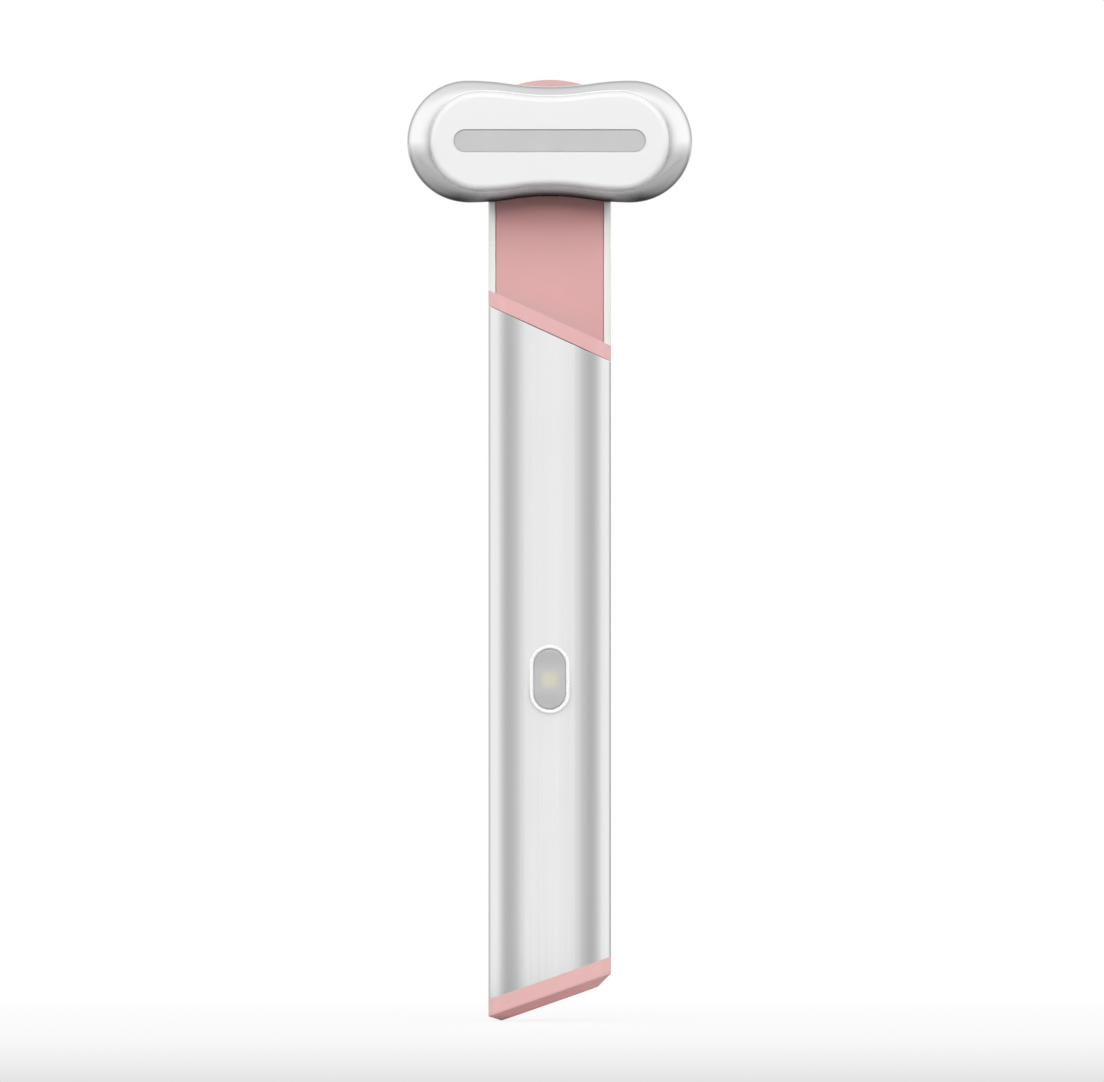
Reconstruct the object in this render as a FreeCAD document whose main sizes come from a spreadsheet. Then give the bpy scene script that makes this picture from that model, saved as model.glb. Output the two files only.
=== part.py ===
import FreeCAD, Part
import os

import Sketcher
from FreeCAD import Placement, Rotation, Vector

# Heated eye massager wand, in millimetres.
# The handle runs along Z, the face of the head looks towards -Y, and the origin is the middle of the
# grip on the handle's own centre line.  The head unit turns on the slanted joint at the tube's top.

doc = FreeCAD.newDocument("EyeWand")

# ---------------------------------------------------------------- driving sizes
SIZES = [
    # handle tube
    ("tube_length", 106.4, "centre line, from slanted end to slanted end"),
    ("tube_width", 20.25, "across the grip"),
    ("tube_depth", 18.0, "front to back"),
    ("tube_corner", 6.0, "outer corner radius of the section"),
    ("tube_wall", 1.2, "wall of the tube"),
    ("joint_tilt", 24.5, "degrees, slant of the joint at the top"),
    ("base_tilt", 19.3, "degrees, slant of the bottom end"),
    ("insert_gap", 0.05, "clearance of what is pushed into the tube"),
    # swivel
    ("seam_gap", 0.15, "running gap over the tube, along Z"),
    ("collar_height", 2.53, "collar, along Z"),
    ("plug_height", 5.5, "bearing plug, along Z"),
    ("spindle_radius", 4.0, "outside of the hollow spindle"),
    ("spindle_bore", 3.0, "radius of the wire way"),
    ("spindle_reach", 7.2, "below the joint plane, along the spindle"),
    ("running_gap", 0.05, "radial clearance of the running fits"),
    ("ring_groove_depth", 0.5, "groove for the retaining ring"),
    ("ring_thickness", 0.7, "retaining ring"),
    ("ring_width", 1.3, "retaining ring beyond the spindle"),
    ("ring_opening", 35.0, "degrees, half of the gap in the ring"),
    ("washer_thickness", 0.5, "friction washer"),
    ("washer_width", 1.6, "friction washer beyond the spindle"),
    ("stop_rim", 0.85, "left outside the stop groove"),
    ("stop_width", 1.6, "width of the stop groove"),
    ("stop_depth", 0.9, "depth of the stop groove"),
    ("stop_angle", 8.0, "degrees, half angle of the stop lug"),
    ("stop_play", 2.0, "degrees of play at each end of the groove"),
    ("swivel_range", 180.0, "degrees"),
    # neck
    ("neck_inset", 2.6, "flat covers behind the handle's front and back"),
    ("cover_inset", 1.15, "pink covers in from the neck's sides"),
    ("cover_thickness", 1.4, "pink covers"),
    ("cover_edge", 0.35, "rounding of the covers' long edges"),
    ("cover_play", 0.02, "between pieces that lie face to face"),
    ("neck_wall", 1.0, "frame behind the covers"),
    ("neck_side_wall", 2.6, "side walls of the neck frame"),
    ("neck_over", 2.1, "top of the frame above the head's centre"),
    ("dome_spread", 9.0, "arc of the neck's top beyond the handle's half width"),
    ("dome_over", 10.27, "highest point of the dome above the head's centre"),
    ("dome_edge", 1.6, "rounding of the dome's edges"),
    ("dome_spigot_room", 0.75, "left under the dome's spigot"),
    # head
    ("head_reach", 31.79, "head centre above the joint's middle"),
    ("head_sink", 3.6, "back of the head behind the face of the neck"),
    ("cover_depth", 2.2, "rear cover of the head"),
    ("shell_depth", 9.0, "front shell of the head"),
    ("lobe_radius", 10.05, "round ends of the head"),
    ("lobe_offset", 13.5, "round ends, each side of the centre"),
    ("dip_above", 1.05, "depth of the head's upper waist"),
    ("dip_below", 1.15, "depth of the head's lower waist"),
    ("shoulder_share", 0.5, "part of a dip's curve that bends with the lobes"),
    ("shell_wall", 1.3, "side wall of the head"),
    ("shell_front", 1.6, "front wall of the head"),
    ("shell_round", 3.0, "rounding of the shell's front edge"),
    ("shell_inner_round", 2.2, "rounding inside the shell"),
    ("cover_rim", 0.2, "straight rim left on the rounded rear cover"),
    ("back_floor", 1.4, "thickness of the rear cover"),
    ("lip_height", 1.0, "locating lip of the rear cover"),
    ("lip_wall", 0.8, "locating lip of the rear cover"),
    ("seat_gap", 0.1, "clearance between pieces that seat in each other"),
    ("plate_inset", 1.8, "plate inside the head's outline, above and below"),
    ("plate_shift", 1.9, "plate's lobes nearer to the middle than the head's"),
    ("plate_dip_above", 0.85, "depth of the plate's upper waist"),
    ("plate_dip_below", 0.9, "depth of the plate's lower waist"),
    ("plate_seat", 0.8, "depth of the plate's recess"),
    ("plate_rise", 1.2, "plate in front of the shell"),
    ("plate_round", 1.1, "rounding of the plate's edge"),
    ("plate_ledge", 1.8, "ledge under the plate"),
    ("window_margin", 4.1, "ends of the light bar in from the plate's ends"),
    ("window_height", 3.53, "light bar"),
    ("window_set_back", 0.12, "light bar behind the plate's face"),
    ("window_flange", 0.8, "flange round the light bar"),
    ("window_play", 0.03, "clearance of the light bar in its slot"),
    ("slot_break", 0.15, "broken edge of the slot"),
    ("heater_thickness", 0.3, "heater film"),
    ("heater_slot_gap", 0.45, "heater film off the ends of the bar's flange"),
    ("heater_slot_height", 5.8, "hole in the heater film for the bar's flange"),
    ("board_thickness", 0.8, "light board"),
    ("chip_size", 1.6, "light chip"),
    ("chip_height", 0.25, "light chip"),
    ("chip_pitch", 5.0, "spacing of the light chips"),
    ("chip_count", 6, "light chips"),
    ("sensor_length", 2.4, "temperature sensor"),
    ("sensor_height", 1.2, "temperature sensor"),
    # vibration motor
    ("motor_radius", 3.0, "vibration motor"),
    ("motor_length", 9.0, "vibration motor"),
    ("motor_cap", 0.5, "closed end of the motor"),
    ("motor_margin", 5.57, "outer end of the motor in from the head's left end"),
    ("motor_lift", 0.2, "motor off the rear cover's inner face"),
    ("shaft_radius", 0.5, "motor shaft"),
    ("shaft_length", 10.6, "motor shaft"),
    ("weight_radius", 2.6, "eccentric weight"),
    ("weight_hub", 1.3, "hub of the eccentric weight"),
    ("weight_length", 2.4, "eccentric weight"),
    ("weight_gap", 0.3, "weight off the motor's end"),
    ("cradle_length", 6.0, "motor clip"),
    ("cradle_width", 8.4, "motor clip"),
    ("cradle_depth", 4.2, "motor clip"),
    # bracket between head and neck
    ("bracket_play", 0.4, "steel bracket in the neck frame, each side"),
    ("bracket_below", 6.4, "steel bracket, below the head's centre"),
    ("bracket_above", 1.9, "steel bracket, above the head's centre"),
    ("bracket_thickness", 1.2, "steel bracket"),
    ("bracket_screw_edge", 1.7, "screws in from the bracket's ends"),
    ("bracket_screw_radius", 0.8, "screw shank"),
    ("bracket_screw_head", 1.5, "screw head"),
    ("bracket_screw_head_height", 0.8, "screw head"),
    ("bracket_screw_grip", 1.6, "screw beyond the rear cover's floor"),
    ("screw_boss_height", 2.4, "boss of the rear cover"),
    ("wire_hole_width", 5.0, "wire way through bracket and rear cover"),
    ("wire_hole_height", 2.4, "wire way through bracket and rear cover"),
    ("flex_width", 2.6, "flat cable"),
    ("flex_thickness", 0.25, "flat cable"),
    ("flex_bend", 1.0, "corner of the flat cable at the top"),
    ("flex_drop", 2.6, "lower end of the flat cable below the joint's middle"),
    ("flex_dip", 6.0, "straight run of the flat cable in the spindle"),
    ("flex_slope", 5.0, "height over which the flat cable crosses the neck"),
    ("flex_offset", 0.9, "flat cable behind the spindle's axis"),
    # button
    ("button_height", -3.85, "button centre from the grip's middle"),
    ("button_length", 10.2, "opening of the white ring"),
    ("button_width", 5.5, "opening of the white ring"),
    ("bezel_rim", 0.55, "visible width of the white ring"),
    ("bezel_rise", 0.5, "white ring proud of the tube"),
    ("bezel_sleeve", 0.25, "sleeve of the ring round the opening"),
    ("bezel_depth", 1.5, "sleeve behind the tube's face"),
    ("bezel_round", 0.2, "rounding of the ring"),
    ("button_gap", 0.1, "cap in the ring, all round"),
    ("button_set_back", 0.12, "cap's face behind the ring's rim"),
    ("button_flange", 0.5, "lip that keeps the cap in"),
    ("button_flange_depth", 0.5, "lip that keeps the cap in"),
    ("button_round", 0.35, "rounding of the cap's face"),
    ("button_travel", 0.4, "press"),
    ("button_boss", 1.0, "radius of the boss over the switch"),
    ("button_boss_rise", 0.53, "boss over the switch"),
    # board and switch
    ("tray_wall", 0.8, "inner tray"),
    ("tray_drop", 11.2, "top of the tray below the joint's middle"),
    ("board_depth", 4.4, "board's face behind the handle's front"),
    ("board_margin", 1.8, "board in from the handle's sides"),
    ("board_length", 70.0, "main board"),
    ("main_board_thickness", 1.0, "main board"),
    ("board_centre", 2.0, "middle of the board from the grip's middle"),
    ("board_corner", 1.0, "corner radius of the main board"),
    ("connector_width", 7.0, "wire connectors at both ends of the board"),
    ("connector_height", 3.0, "wire connectors"),
    ("connector_rise", 1.6, "wire connectors off the board"),
    ("connector_margin", 4.5, "wire connectors from the board's ends"),
    ("controller_size", 5.0, "controller chip"),
    ("controller_rise", 0.9, "controller chip off the board"),
    ("controller_height", 18.0, "controller chip above the board's middle"),
    ("charger_size", 3.2, "charging chip"),
    ("charger_drop", 21.0, "charging chip below the board's middle"),
    ("coil_size", 3.6, "coils"),
    ("coil_rise", 1.5, "coils off the board"),
    ("component_side", 3.8, "chips and coils from the board's middle line"),
    ("switch_drop", 3.4, "switch below the button's centre"),
    ("switch_size", 3.2, "switch body"),
    ("switch_height", 1.2, "switch body"),
    ("plunger_radius", 0.8, "switch plunger"),
    ("plunger_length", 1.2, "switch plunger"),
    ("led_size", 2.4, "status light"),
    ("led_height", 0.6, "status light"),
    # cell
    ("cell_side", 4.25, "flat cell in from the handle's sides"),
    ("cell_thickness", 6.0, "flat cell"),
    ("cell_length", 44.0, "flat cell"),
    ("cell_centre", 2.0, "middle of the cell from the grip's middle"),
    ("cell_edge", 1.2, "rounded long edges of the cell"),
    ("cell_tab", 1.6, "folded seam at the cell's top"),
    ("cell_tab_depth", 1.0, "depth of the folded seam"),
    ("rib_thickness", 1.5, "end stops of the cell"),
    ("rib_gap", 0.3, "end stops off the cell"),
    ("rib_rise", 2.4, "end stops off the tray's floor"),
    ("tape_thickness", 0.4, "foam tape under the cell"),
    ("tape_margin", 2.0, "foam tape in from the cell's edges"),
    # end cap and charging socket
    ("cap_height", 4.28, "end cap, along Z"),
    ("cap_chamfer", 1.42, "chamfer of the end cap, along its wall"),
    ("cap_chamfer_foot", 2.27, "chamfer of the end cap, along its foot"),
    ("spigot_height", 5.0, "spigot of the end cap in the tube, along Z"),
    ("spigot_wall", 1.3, "spigot of the end cap"),
    ("tray_end_gap", 0.25, "tray above the spigot"),
    ("socket_width", 8.94, "charging socket"),
    ("socket_height", 3.26, "charging socket"),
    ("socket_length", 7.3, "charging socket"),
    ("socket_wall", 0.35, "charging socket"),
    ("socket_corner", 1.58, "corner radius of the socket"),
    ("socket_back", 0.6, "closed end of the socket"),
    ("tongue_width", 6.7, "charging socket's tongue"),
    ("tongue_height", 0.7, "charging socket's tongue"),
    ("tongue_length", 4.6, "charging socket's tongue"),
    ("charge_board_margin", 5.2, "charging board in from the handle's sides"),
    ("charge_board_length", 8.5, "charging board"),
    ("charge_board_thickness", 1.0, "charging board"),
    ("charge_board_start", 0.4, "charging board above the cap's inner face"),
]

sheet = doc.addObject("Spreadsheet::Sheet", "Sizes")
for row, (alias, value, note) in enumerate(SIZES, start=1):
    sheet.set(f"A{row}", alias)
    sheet.set(f"B{row}", str(value))
    sheet.setAlias(f"B{row}", alias)
    sheet.set(f"C{row}", note)
doc.recompute()
DEGREES = 57.29577951308232     # in one radian

# Heights along the centre line that several pieces share, as sheet expressions.
JOINT = "Sizes.tube_length / 2"
BASE = "-Sizes.tube_length / 2"
HEAD = "(Sizes.tube_length / 2 + Sizes.head_reach)"
NECK_TOP = f"({HEAD} + Sizes.neck_over)"
DOME_RADIUS = "(Sizes.tube_width / 2 + Sizes.dome_spread)"
DOME_TOP = f"({HEAD} + Sizes.dome_over)"
COLLAR_FOOT = "(Sizes.tube_length / 2 + Sizes.seam_gap)"
COLLAR_TOP = "(Sizes.tube_length / 2 + Sizes.seam_gap + Sizes.collar_height)"
PLATE_LOBE = "(Sizes.lobe_radius - Sizes.plate_inset)"
PLATE_OFFSET = "(Sizes.lobe_offset - Sizes.plate_shift)"
WINDOW_LENGTH = f"(2 * ({PLATE_LOBE} + {PLATE_OFFSET} - Sizes.window_margin))"
# Distances in front of the centre line (towards -Y).
HEAD_BACK = "(Sizes.tube_depth / 2 - Sizes.neck_inset - Sizes.head_sink)"
SHELL_BACK = f"({HEAD_BACK} + Sizes.cover_depth)"
SHELL_FACE = f"({HEAD_BACK} + Sizes.cover_depth + Sizes.shell_depth)"
PLATE_BACK = f"({HEAD_BACK} + Sizes.cover_depth + Sizes.shell_depth - Sizes.plate_seat)"
SHELL_INNER = f"({HEAD_BACK} + Sizes.cover_depth + Sizes.shell_depth - Sizes.shell_front)"
BACK_INNER = f"({HEAD_BACK} + Sizes.back_floor)"
TUBE_FRONT = "(Sizes.tube_depth / 2)"
BUTTON_FACE = "(Sizes.tube_depth / 2 + Sizes.bezel_rise - Sizes.button_set_back)"
BOARD_FRONT = "(Sizes.tube_depth / 2 - Sizes.board_depth)"
BOARD_BACK = f"({BOARD_FRONT} - Sizes.main_board_thickness)"
SWITCH_HEIGHT = "(Sizes.button_height - Sizes.switch_drop)"
SWITCH_TOP = f"({BOARD_FRONT} + Sizes.switch_height)"
PLUNGER_TOP = f"({SWITCH_TOP} + Sizes.button_travel + 2 * Sizes.running_gap)"
BUTTON_BACK = f"({PLUNGER_TOP} + Sizes.running_gap + Sizes.button_boss_rise)"


def val(expression):
    """Value of a sheet expression, for a sketch's first guess and for code that finds edges."""
    return float(sheet.evalExpression(str(expression)))


# ---------------------------------------------------------------- sketch helpers
def new_body(label):
    body = doc.addObject("PartDesign::Body", label)
    body.Label = label
    return body


def new_sketch(body, role, x="0", y="0", out="0", tilt=None):
    """Sketch on an origin plane, moved by x, y within it and by out along its normal.
    tilt turns the XY plane about the Y axis before the sketch is drawn."""
    sketch = body.newObject("Sketcher::SketchObject", "Sketch")
    plane = next(f for f in body.Origin.OriginFeatures if f.Role == role)
    sketch.AttachmentSupport = [(plane, "")]
    sketch.MapMode = "FlatFace"
    if tilt is not None:
        turn = Rotation(Vector(0, 1, 0), val(tilt))
        sketch.AttachmentOffset = Placement(Vector(0, 0, 0), turn)
        sketch.setExpression("AttachmentOffset.Rotation.Angle", tilt)
    for axis, expression in (("x", x), ("y", y), ("z", out)):
        if expression != "0":
            sketch.setExpression("AttachmentOffset.Base." + axis, expression)
    return sketch


def joint_sketch(body, lift="0"):
    """Sketch square to the spindle, lift above the joint plane along the spindle."""
    return slanted_sketch(body, "Sizes.joint_tilt", JOINT, lift)


def base_sketch(body, lift="0"):
    """Sketch in the slant of the bottom end, lift above it along the slant's normal."""
    return slanted_sketch(body, "-Sizes.base_tilt", BASE, lift)


def slanted_sketch(body, tilt, height, lift):
    sketch = new_sketch(body, "XY_Plane", tilt=tilt)
    sketch.setExpression("AttachmentOffset.Base.x", f"({lift}) * sin({tilt})")
    sketch.setExpression("AttachmentOffset.Base.z", f"({height}) + ({lift}) * cos({tilt})")
    return sketch


def pin(sketch, kind, geometry, point, expression):
    """Distance of a point from the sketch's origin, bound to the sheet."""
    number = sketch.addConstraint(Sketcher.Constraint(kind, -1, 1, geometry, point, val(expression)))
    sketch.setExpression(f"Constraints[{number}]", expression)


def set_radius(sketch, geometry, expression):
    number = sketch.addConstraint(Sketcher.Constraint("Radius", geometry, val(expression)))
    sketch.setExpression(f"Constraints[{number}]", expression)


def polygon(sketch, corners):
    """Closed outline through corners given as pairs of expressions."""
    points = [Vector(val(x), val(y), 0) for x, y in corners]
    first = sketch.GeometryCount
    count = len(points)
    for i in range(count):
        sketch.addGeometry(Part.LineSegment(points[i], points[(i + 1) % count]), False)
    for i in range(count):
        after = first + (i + 1) % count
        sketch.addConstraint(Sketcher.Constraint("Coincident", first + i, 2, after, 1))
        pin(sketch, "DistanceX", first + i, 1, corners[i][0])
        pin(sketch, "DistanceY", first + i, 1, corners[i][1])


def rectangle(sketch, width, height, x="0", y="0"):
    left, right = f"{x} - ({width}) / 2", f"{x} + ({width}) / 2"
    low, high = f"{y} - ({height}) / 2", f"{y} + ({height}) / 2"
    polygon(sketch, [(left, low), (right, low), (right, high), (left, high)])


def circle(sketch, radius, x="0", y="0"):
    number = sketch.addGeometry(Part.Circle(Vector(val(x), val(y), 0), Vector(0, 0, 1), val(radius)), False)
    set_radius(sketch, number, radius)
    pin(sketch, "DistanceX", number, 3, x)
    pin(sketch, "DistanceY", number, 3, y)


def arc(centre, radius, start, end):
    """Arc between two angles in degrees, counter-clockwise."""
    full = Part.Circle(centre, Vector(0, 0, 1), radius)
    turn = FreeCAD.Units.Quantity("1 deg").getValueAs("rad").Value
    return Part.ArcOfCircle(full, start * turn, end * turn)


def rounded(sketch, width, height, radius):
    """Rounded rectangle about the sketch's origin."""
    w, h, r = val(width) / 2, val(height) / 2, val(radius)
    first = sketch.GeometryCount
    lines = [
        ((-w + r, -h), (w - r, -h)),
        ((w, -h + r), (w, h - r)),
        ((w - r, h), (-w + r, h)),
        ((-w, h - r), (-w, -h + r)),
    ]
    for start, end in lines:
        sketch.addGeometry(Part.LineSegment(Vector(*start, 0), Vector(*end, 0)), False)
    centres = [(w - r, -h + r, 270), (w - r, h - r, 0), (-w + r, h - r, 90), (-w + r, -h + r, 180)]
    for x, y, start in centres:
        sketch.addGeometry(arc(Vector(x, y, 0), r, start, start + 90), False)
    for i in range(4):
        line, corner, after = first + i, first + 4 + i, first + (i + 1) % 4
        sketch.addConstraint(Sketcher.Constraint("Tangent", line, 2, corner, 1))
        sketch.addConstraint(Sketcher.Constraint("Tangent", corner, 2, after, 1))
    for i in (0, 2):
        sketch.addConstraint(Sketcher.Constraint("Horizontal", first + i))
    for i in (1, 3):
        sketch.addConstraint(Sketcher.Constraint("Vertical", first + i))
    for i in (1, 2, 3):
        sketch.addConstraint(Sketcher.Constraint("Equal", first + 4, first + 4 + i))
    set_radius(sketch, first + 4, radius)
    pin(sketch, "DistanceY", first, 1, f"-({height}) / 2")
    pin(sketch, "DistanceX", first + 1, 1, f"({width}) / 2")
    pin(sketch, "DistanceY", first + 2, 1, f"({height}) / 2")
    pin(sketch, "DistanceX", first + 3, 1, f"-({width}) / 2")


def stadium(sketch, length, width, upright=False):
    """Slot outline with full round ends about the sketch's origin."""
    r = val(width) / 2
    reach = f"(({length}) - ({width})) / 2"
    c = val(reach)
    first = sketch.GeometryCount
    along, across = ("DistanceY", "DistanceX") if upright else ("DistanceX", "DistanceY")
    turn = 90 if upright else 0

    def place(u, v):
        return Vector(-v, u, 0) if upright else Vector(u, v, 0)

    sketch.addGeometry(Part.LineSegment(place(-c, -r), place(c, -r)), False)
    sketch.addGeometry(arc(place(c, 0), r, turn - 90, turn + 90), False)
    sketch.addGeometry(Part.LineSegment(place(c, r), place(-c, r)), False)
    sketch.addGeometry(arc(place(-c, 0), r, turn + 90, turn + 270), False)
    for i in range(4):
        sketch.addConstraint(Sketcher.Constraint("Tangent", first + i, 2, first + (i + 1) % 4, 1))
    set_radius(sketch, first + 1, f"({width}) / 2")
    for number, sign in ((1, ""), (3, "-")):
        pin(sketch, along, first + number, 3, sign + reach)
        pin(sketch, across, first + number, 3, "0")


def ring_sector(sketch, inner, outer, start, end):
    """Part of a ring about the sketch's origin between two angles in degrees."""
    inner, outer, start, end = f"({inner})", f"({outer})", f"({start})", f"({end})"
    first = sketch.GeometryCount
    for radius in (outer, inner):
        sketch.addGeometry(arc(Vector(0, 0, 0), val(radius), val(start), val(end)), False)
    for angle in (start, end):
        near = Vector(val(f"{inner} * cos({angle})"), val(f"{inner} * sin({angle})"), 0)
        far = Vector(val(f"{outer} * cos({angle})"), val(f"{outer} * sin({angle})"), 0)
        sketch.addGeometry(Part.LineSegment(near, far), False)
    for number, radius in ((first, outer), (first + 1, inner)):
        pin(sketch, "DistanceX", number, 3, "0")
        pin(sketch, "DistanceY", number, 3, "0")
        pin(sketch, "DistanceX", number, 1, f"{radius} * cos({start})")
        pin(sketch, "DistanceY", number, 1, f"{radius} * sin({start})")
        pin(sketch, "DistanceY", number, 2, f"{radius} * sin({end})")
    for line, point in ((first + 2, 1), (first + 3, 2)):
        sketch.addConstraint(Sketcher.Constraint("Coincident", line, 1, first + 1, point))
        sketch.addConstraint(Sketcher.Constraint("Coincident", line, 2, first, point))


def peanut(sketch, radius, offset, dip_above, dip_below, grow="0"):
    """Outline of two round lobes joined by hollow waists, grown outwards by grow.
    A shoulder arc leads from the top of each lobe into the waist's arc, and all arcs are tangent."""
    first = sketch.GeometryCount
    x, r, g = val(offset), val(radius), val(grow)
    bends, guesses = [], []
    for dip in (dip_above, dip_below):
        bend = f"((({offset}) ^ 2 + ({dip}) ^ 2) / (2 * ({dip})))"
        shoulder, waist = f"Sizes.shoulder_share * {bend}", f"(1 - Sizes.shoulder_share) * {bend}"
        bends.append((shoulder, waist))
        turn = Vector(0, 1, 0).getAngle(Vector(x, val(bend) - val(dip), 0)) * DEGREES
        guesses.append((val(shoulder), val(waist), r - val(dip) + val(waist), turn))
    (s_up, w_up, rise_up, turn_up), (s_down, w_down, rise_down, turn_down) = guesses
    arcs = [
        (x, 0, r + g, -90, 90),
        (x, r - s_up, s_up + g, 90, 90 + turn_up),
        (0, rise_up, w_up - g, 270 - turn_up, 270 + turn_up),
        (-x, r - s_up, s_up + g, 90 - turn_up, 90),
        (-x, 0, r + g, 90, 270),
        (-x, s_down - r, s_down + g, 270, 270 + turn_down),
        (0, -rise_down, w_down - g, 90 - turn_down, 90 + turn_down),
        (x, s_down - r, s_down + g, 270 - turn_down, 270),
    ]
    for middle_x, middle_y, size, start, end in arcs:
        sketch.addGeometry(arc(Vector(middle_x, middle_y, 0), size, start, end), False)
    # The waist arcs run counter-clockwise, so their ends meet the shoulders in the other order.
    ends = [(0, 2, 1, 1), (1, 2, 2, 2), (2, 1, 3, 1), (3, 2, 4, 1),
            (4, 2, 5, 1), (5, 2, 6, 2), (6, 1, 7, 1), (7, 2, 0, 1)]
    for one, a, two, b in ends:
        sketch.addConstraint(Sketcher.Constraint("Tangent", first + one, a, first + two, b))
    for number, sign in ((0, ""), (4, "-")):
        pin(sketch, "DistanceX", first + number, 3, f"{sign}({offset})")
        pin(sketch, "DistanceY", first + number, 3, "0")
        set_radius(sketch, first + number, f"({radius}) + ({grow})")
    for number, sign, side in ((1, "", 0), (3, "-", 0), (5, "-", 1), (7, "", 1)):
        pin(sketch, "DistanceX", first + number, 3, f"{sign}({offset})")
        set_radius(sketch, first + number, f"{bends[side][0]} + ({grow})")
    for number, side in ((2, 0), (6, 1)):
        set_radius(sketch, first + number, f"{bends[side][1]} - ({grow})")


def shell_outline(sketch, grow="0"):
    peanut(sketch, "Sizes.lobe_radius", "Sizes.lobe_offset", "Sizes.dip_above", "Sizes.dip_below", grow)


def plate_outline(sketch, grow="0"):
    peanut(sketch, PLATE_LOBE, PLATE_OFFSET, "Sizes.plate_dip_above", "Sizes.plate_dip_below", grow)


# ---------------------------------------------------------------- feature helpers
def add_feature(body, kind, sketch, length, flip, both_ways):
    feature = body.newObject(kind, kind.split("::")[1])
    feature.Profile = sketch
    feature.Reversed = flip
    feature.Midplane = both_ways
    feature.setExpression("Length", length)
    doc.recompute()
    return feature


def pad(body, sketch, length, flip=False, both_ways=False):
    return add_feature(body, "PartDesign::Pad", sketch, length, flip, both_ways)


def pocket(body, sketch, length, flip=False, both_ways=False):
    """Cut that stops the build if it takes nothing away."""
    before = body.Tip.Shape.Volume
    feature = add_feature(body, "PartDesign::Pocket", sketch, length, flip, both_ways)
    if feature.Shape.isNull() or not feature.Shape.Volume < before - 1e-6:
        raise RuntimeError(f"{body.Label}: {feature.Name} cuts nothing")
    return feature


def edge_names(shape, wanted):
    return [f"Edge{i}" for i, edge in enumerate(shape.Edges, start=1) if wanted(edge)]


def fillet(body, wanted, radius):
    base = body.Tip
    feature = body.newObject("PartDesign::Fillet", "Fillet")
    feature.Base = (base, edge_names(base.Shape, wanted))
    feature.setExpression("Radius", radius)
    doc.recompute()
    return feature


def chamfer(body, wanted, size, other_size):
    """Chamfer with its own width on each of the two faces."""
    base = body.Tip
    feature = body.newObject("PartDesign::Chamfer", "Chamfer")
    feature.Base = (base, edge_names(base.Shape, wanted))
    feature.ChamferType = "Two distances"
    feature.setExpression("Size", size)
    feature.setExpression("Size2", other_size)
    doc.recompute()
    return feature


def at_front(distance):
    """Edges that lie wholly in the plane that is distance in front of the centre line."""
    y = -val(distance)
    return lambda edge: abs(edge.BoundBox.YMin - y) < 1e-4 and abs(edge.BoundBox.YMax - y) < 1e-4


def at_front_within(distance, x, z_low, z_high):
    """The same, kept to edges whose box lies inside the given half width and heights."""
    flat = at_front(distance)

    def wanted(edge):
        box = edge.BoundBox
        inside = max(abs(box.XMin), abs(box.XMax)) < x and box.ZMin > z_low and box.ZMax < z_high
        return flat(edge) and inside

    return wanted


def cut_slope(body, height, tilt, above):
    """Trim along the plane that crosses the centre line at height and falls by tilt towards +X."""
    reach = "Sizes.tube_width"
    sketch = new_sketch(body, "XZ_Plane")
    left = f"({height}) + {reach} * tan({tilt})"
    right = f"({height}) - {reach} * tan({tilt})"
    sign = "+" if above else "-"
    corners = [
        (f"-{reach}", left),
        (reach, right),
        (reach, f"({height}) {sign} 2 * Sizes.tube_length"),
        (f"-{reach}", f"({height}) {sign} 2 * Sizes.tube_length"),
    ]
    polygon(sketch, corners)
    return pocket(body, sketch, "4 * Sizes.tube_depth", both_ways=True)


def cut_above(body, height, tilt="Sizes.joint_tilt"):
    return cut_slope(body, height, tilt, True)


def cut_below(body, height, tilt="Sizes.joint_tilt"):
    return cut_slope(body, height, tilt, False)


def column(body, low, high, grow="0"):
    """Length of the handle's outer section, grown outwards by grow."""
    sketch = new_sketch(body, "XY_Plane", out=low)
    rounded(
        sketch,
        f"Sizes.tube_width + 2 * ({grow})",
        f"Sizes.tube_depth + 2 * ({grow})",
        f"Sizes.tube_corner + ({grow})",
    )
    return pad(body, sketch, f"({high}) - ({low})")


# How far a slanted end rises or falls from the centre line to the side of the handle.
JOINT_RISE = "(Sizes.tube_width / 2 * tan(Sizes.joint_tilt))"
BASE_RISE = "(Sizes.tube_width / 2 * tan(Sizes.base_tilt))"

# ---------------------------------------------------------------- handle tube
handle_tube = new_body("handle_tube")
column(handle_tube, f"{BASE} - {BASE_RISE}", f"{JOINT} + {JOINT_RISE}")
hollow = new_sketch(handle_tube, "XY_Plane", out=f"{BASE} - {BASE_RISE}")
rounded(
    hollow,
    "Sizes.tube_width - 2 * Sizes.tube_wall",
    "Sizes.tube_depth - 2 * Sizes.tube_wall",
    "Sizes.tube_corner - Sizes.tube_wall",
)
pocket(handle_tube, hollow, "2 * Sizes.tube_length", flip=True)
cut_above(handle_tube, JOINT)
cut_below(handle_tube, BASE, "-Sizes.base_tilt")
button_hole = new_sketch(handle_tube, "XZ_Plane", y="Sizes.button_height", out=TUBE_FRONT)
SLEEVE_LENGTH = "(Sizes.button_length + 2 * Sizes.bezel_sleeve)"
SLEEVE_WIDTH = "(Sizes.button_width + 2 * Sizes.bezel_sleeve)"
stadium(
    button_hole,
    f"{SLEEVE_LENGTH} + 2 * Sizes.insert_gap",
    f"{SLEEVE_WIDTH} + 2 * Sizes.insert_gap",
    upright=True,
)
pocket(handle_tube, button_hole, "2 * Sizes.tube_wall")

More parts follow.
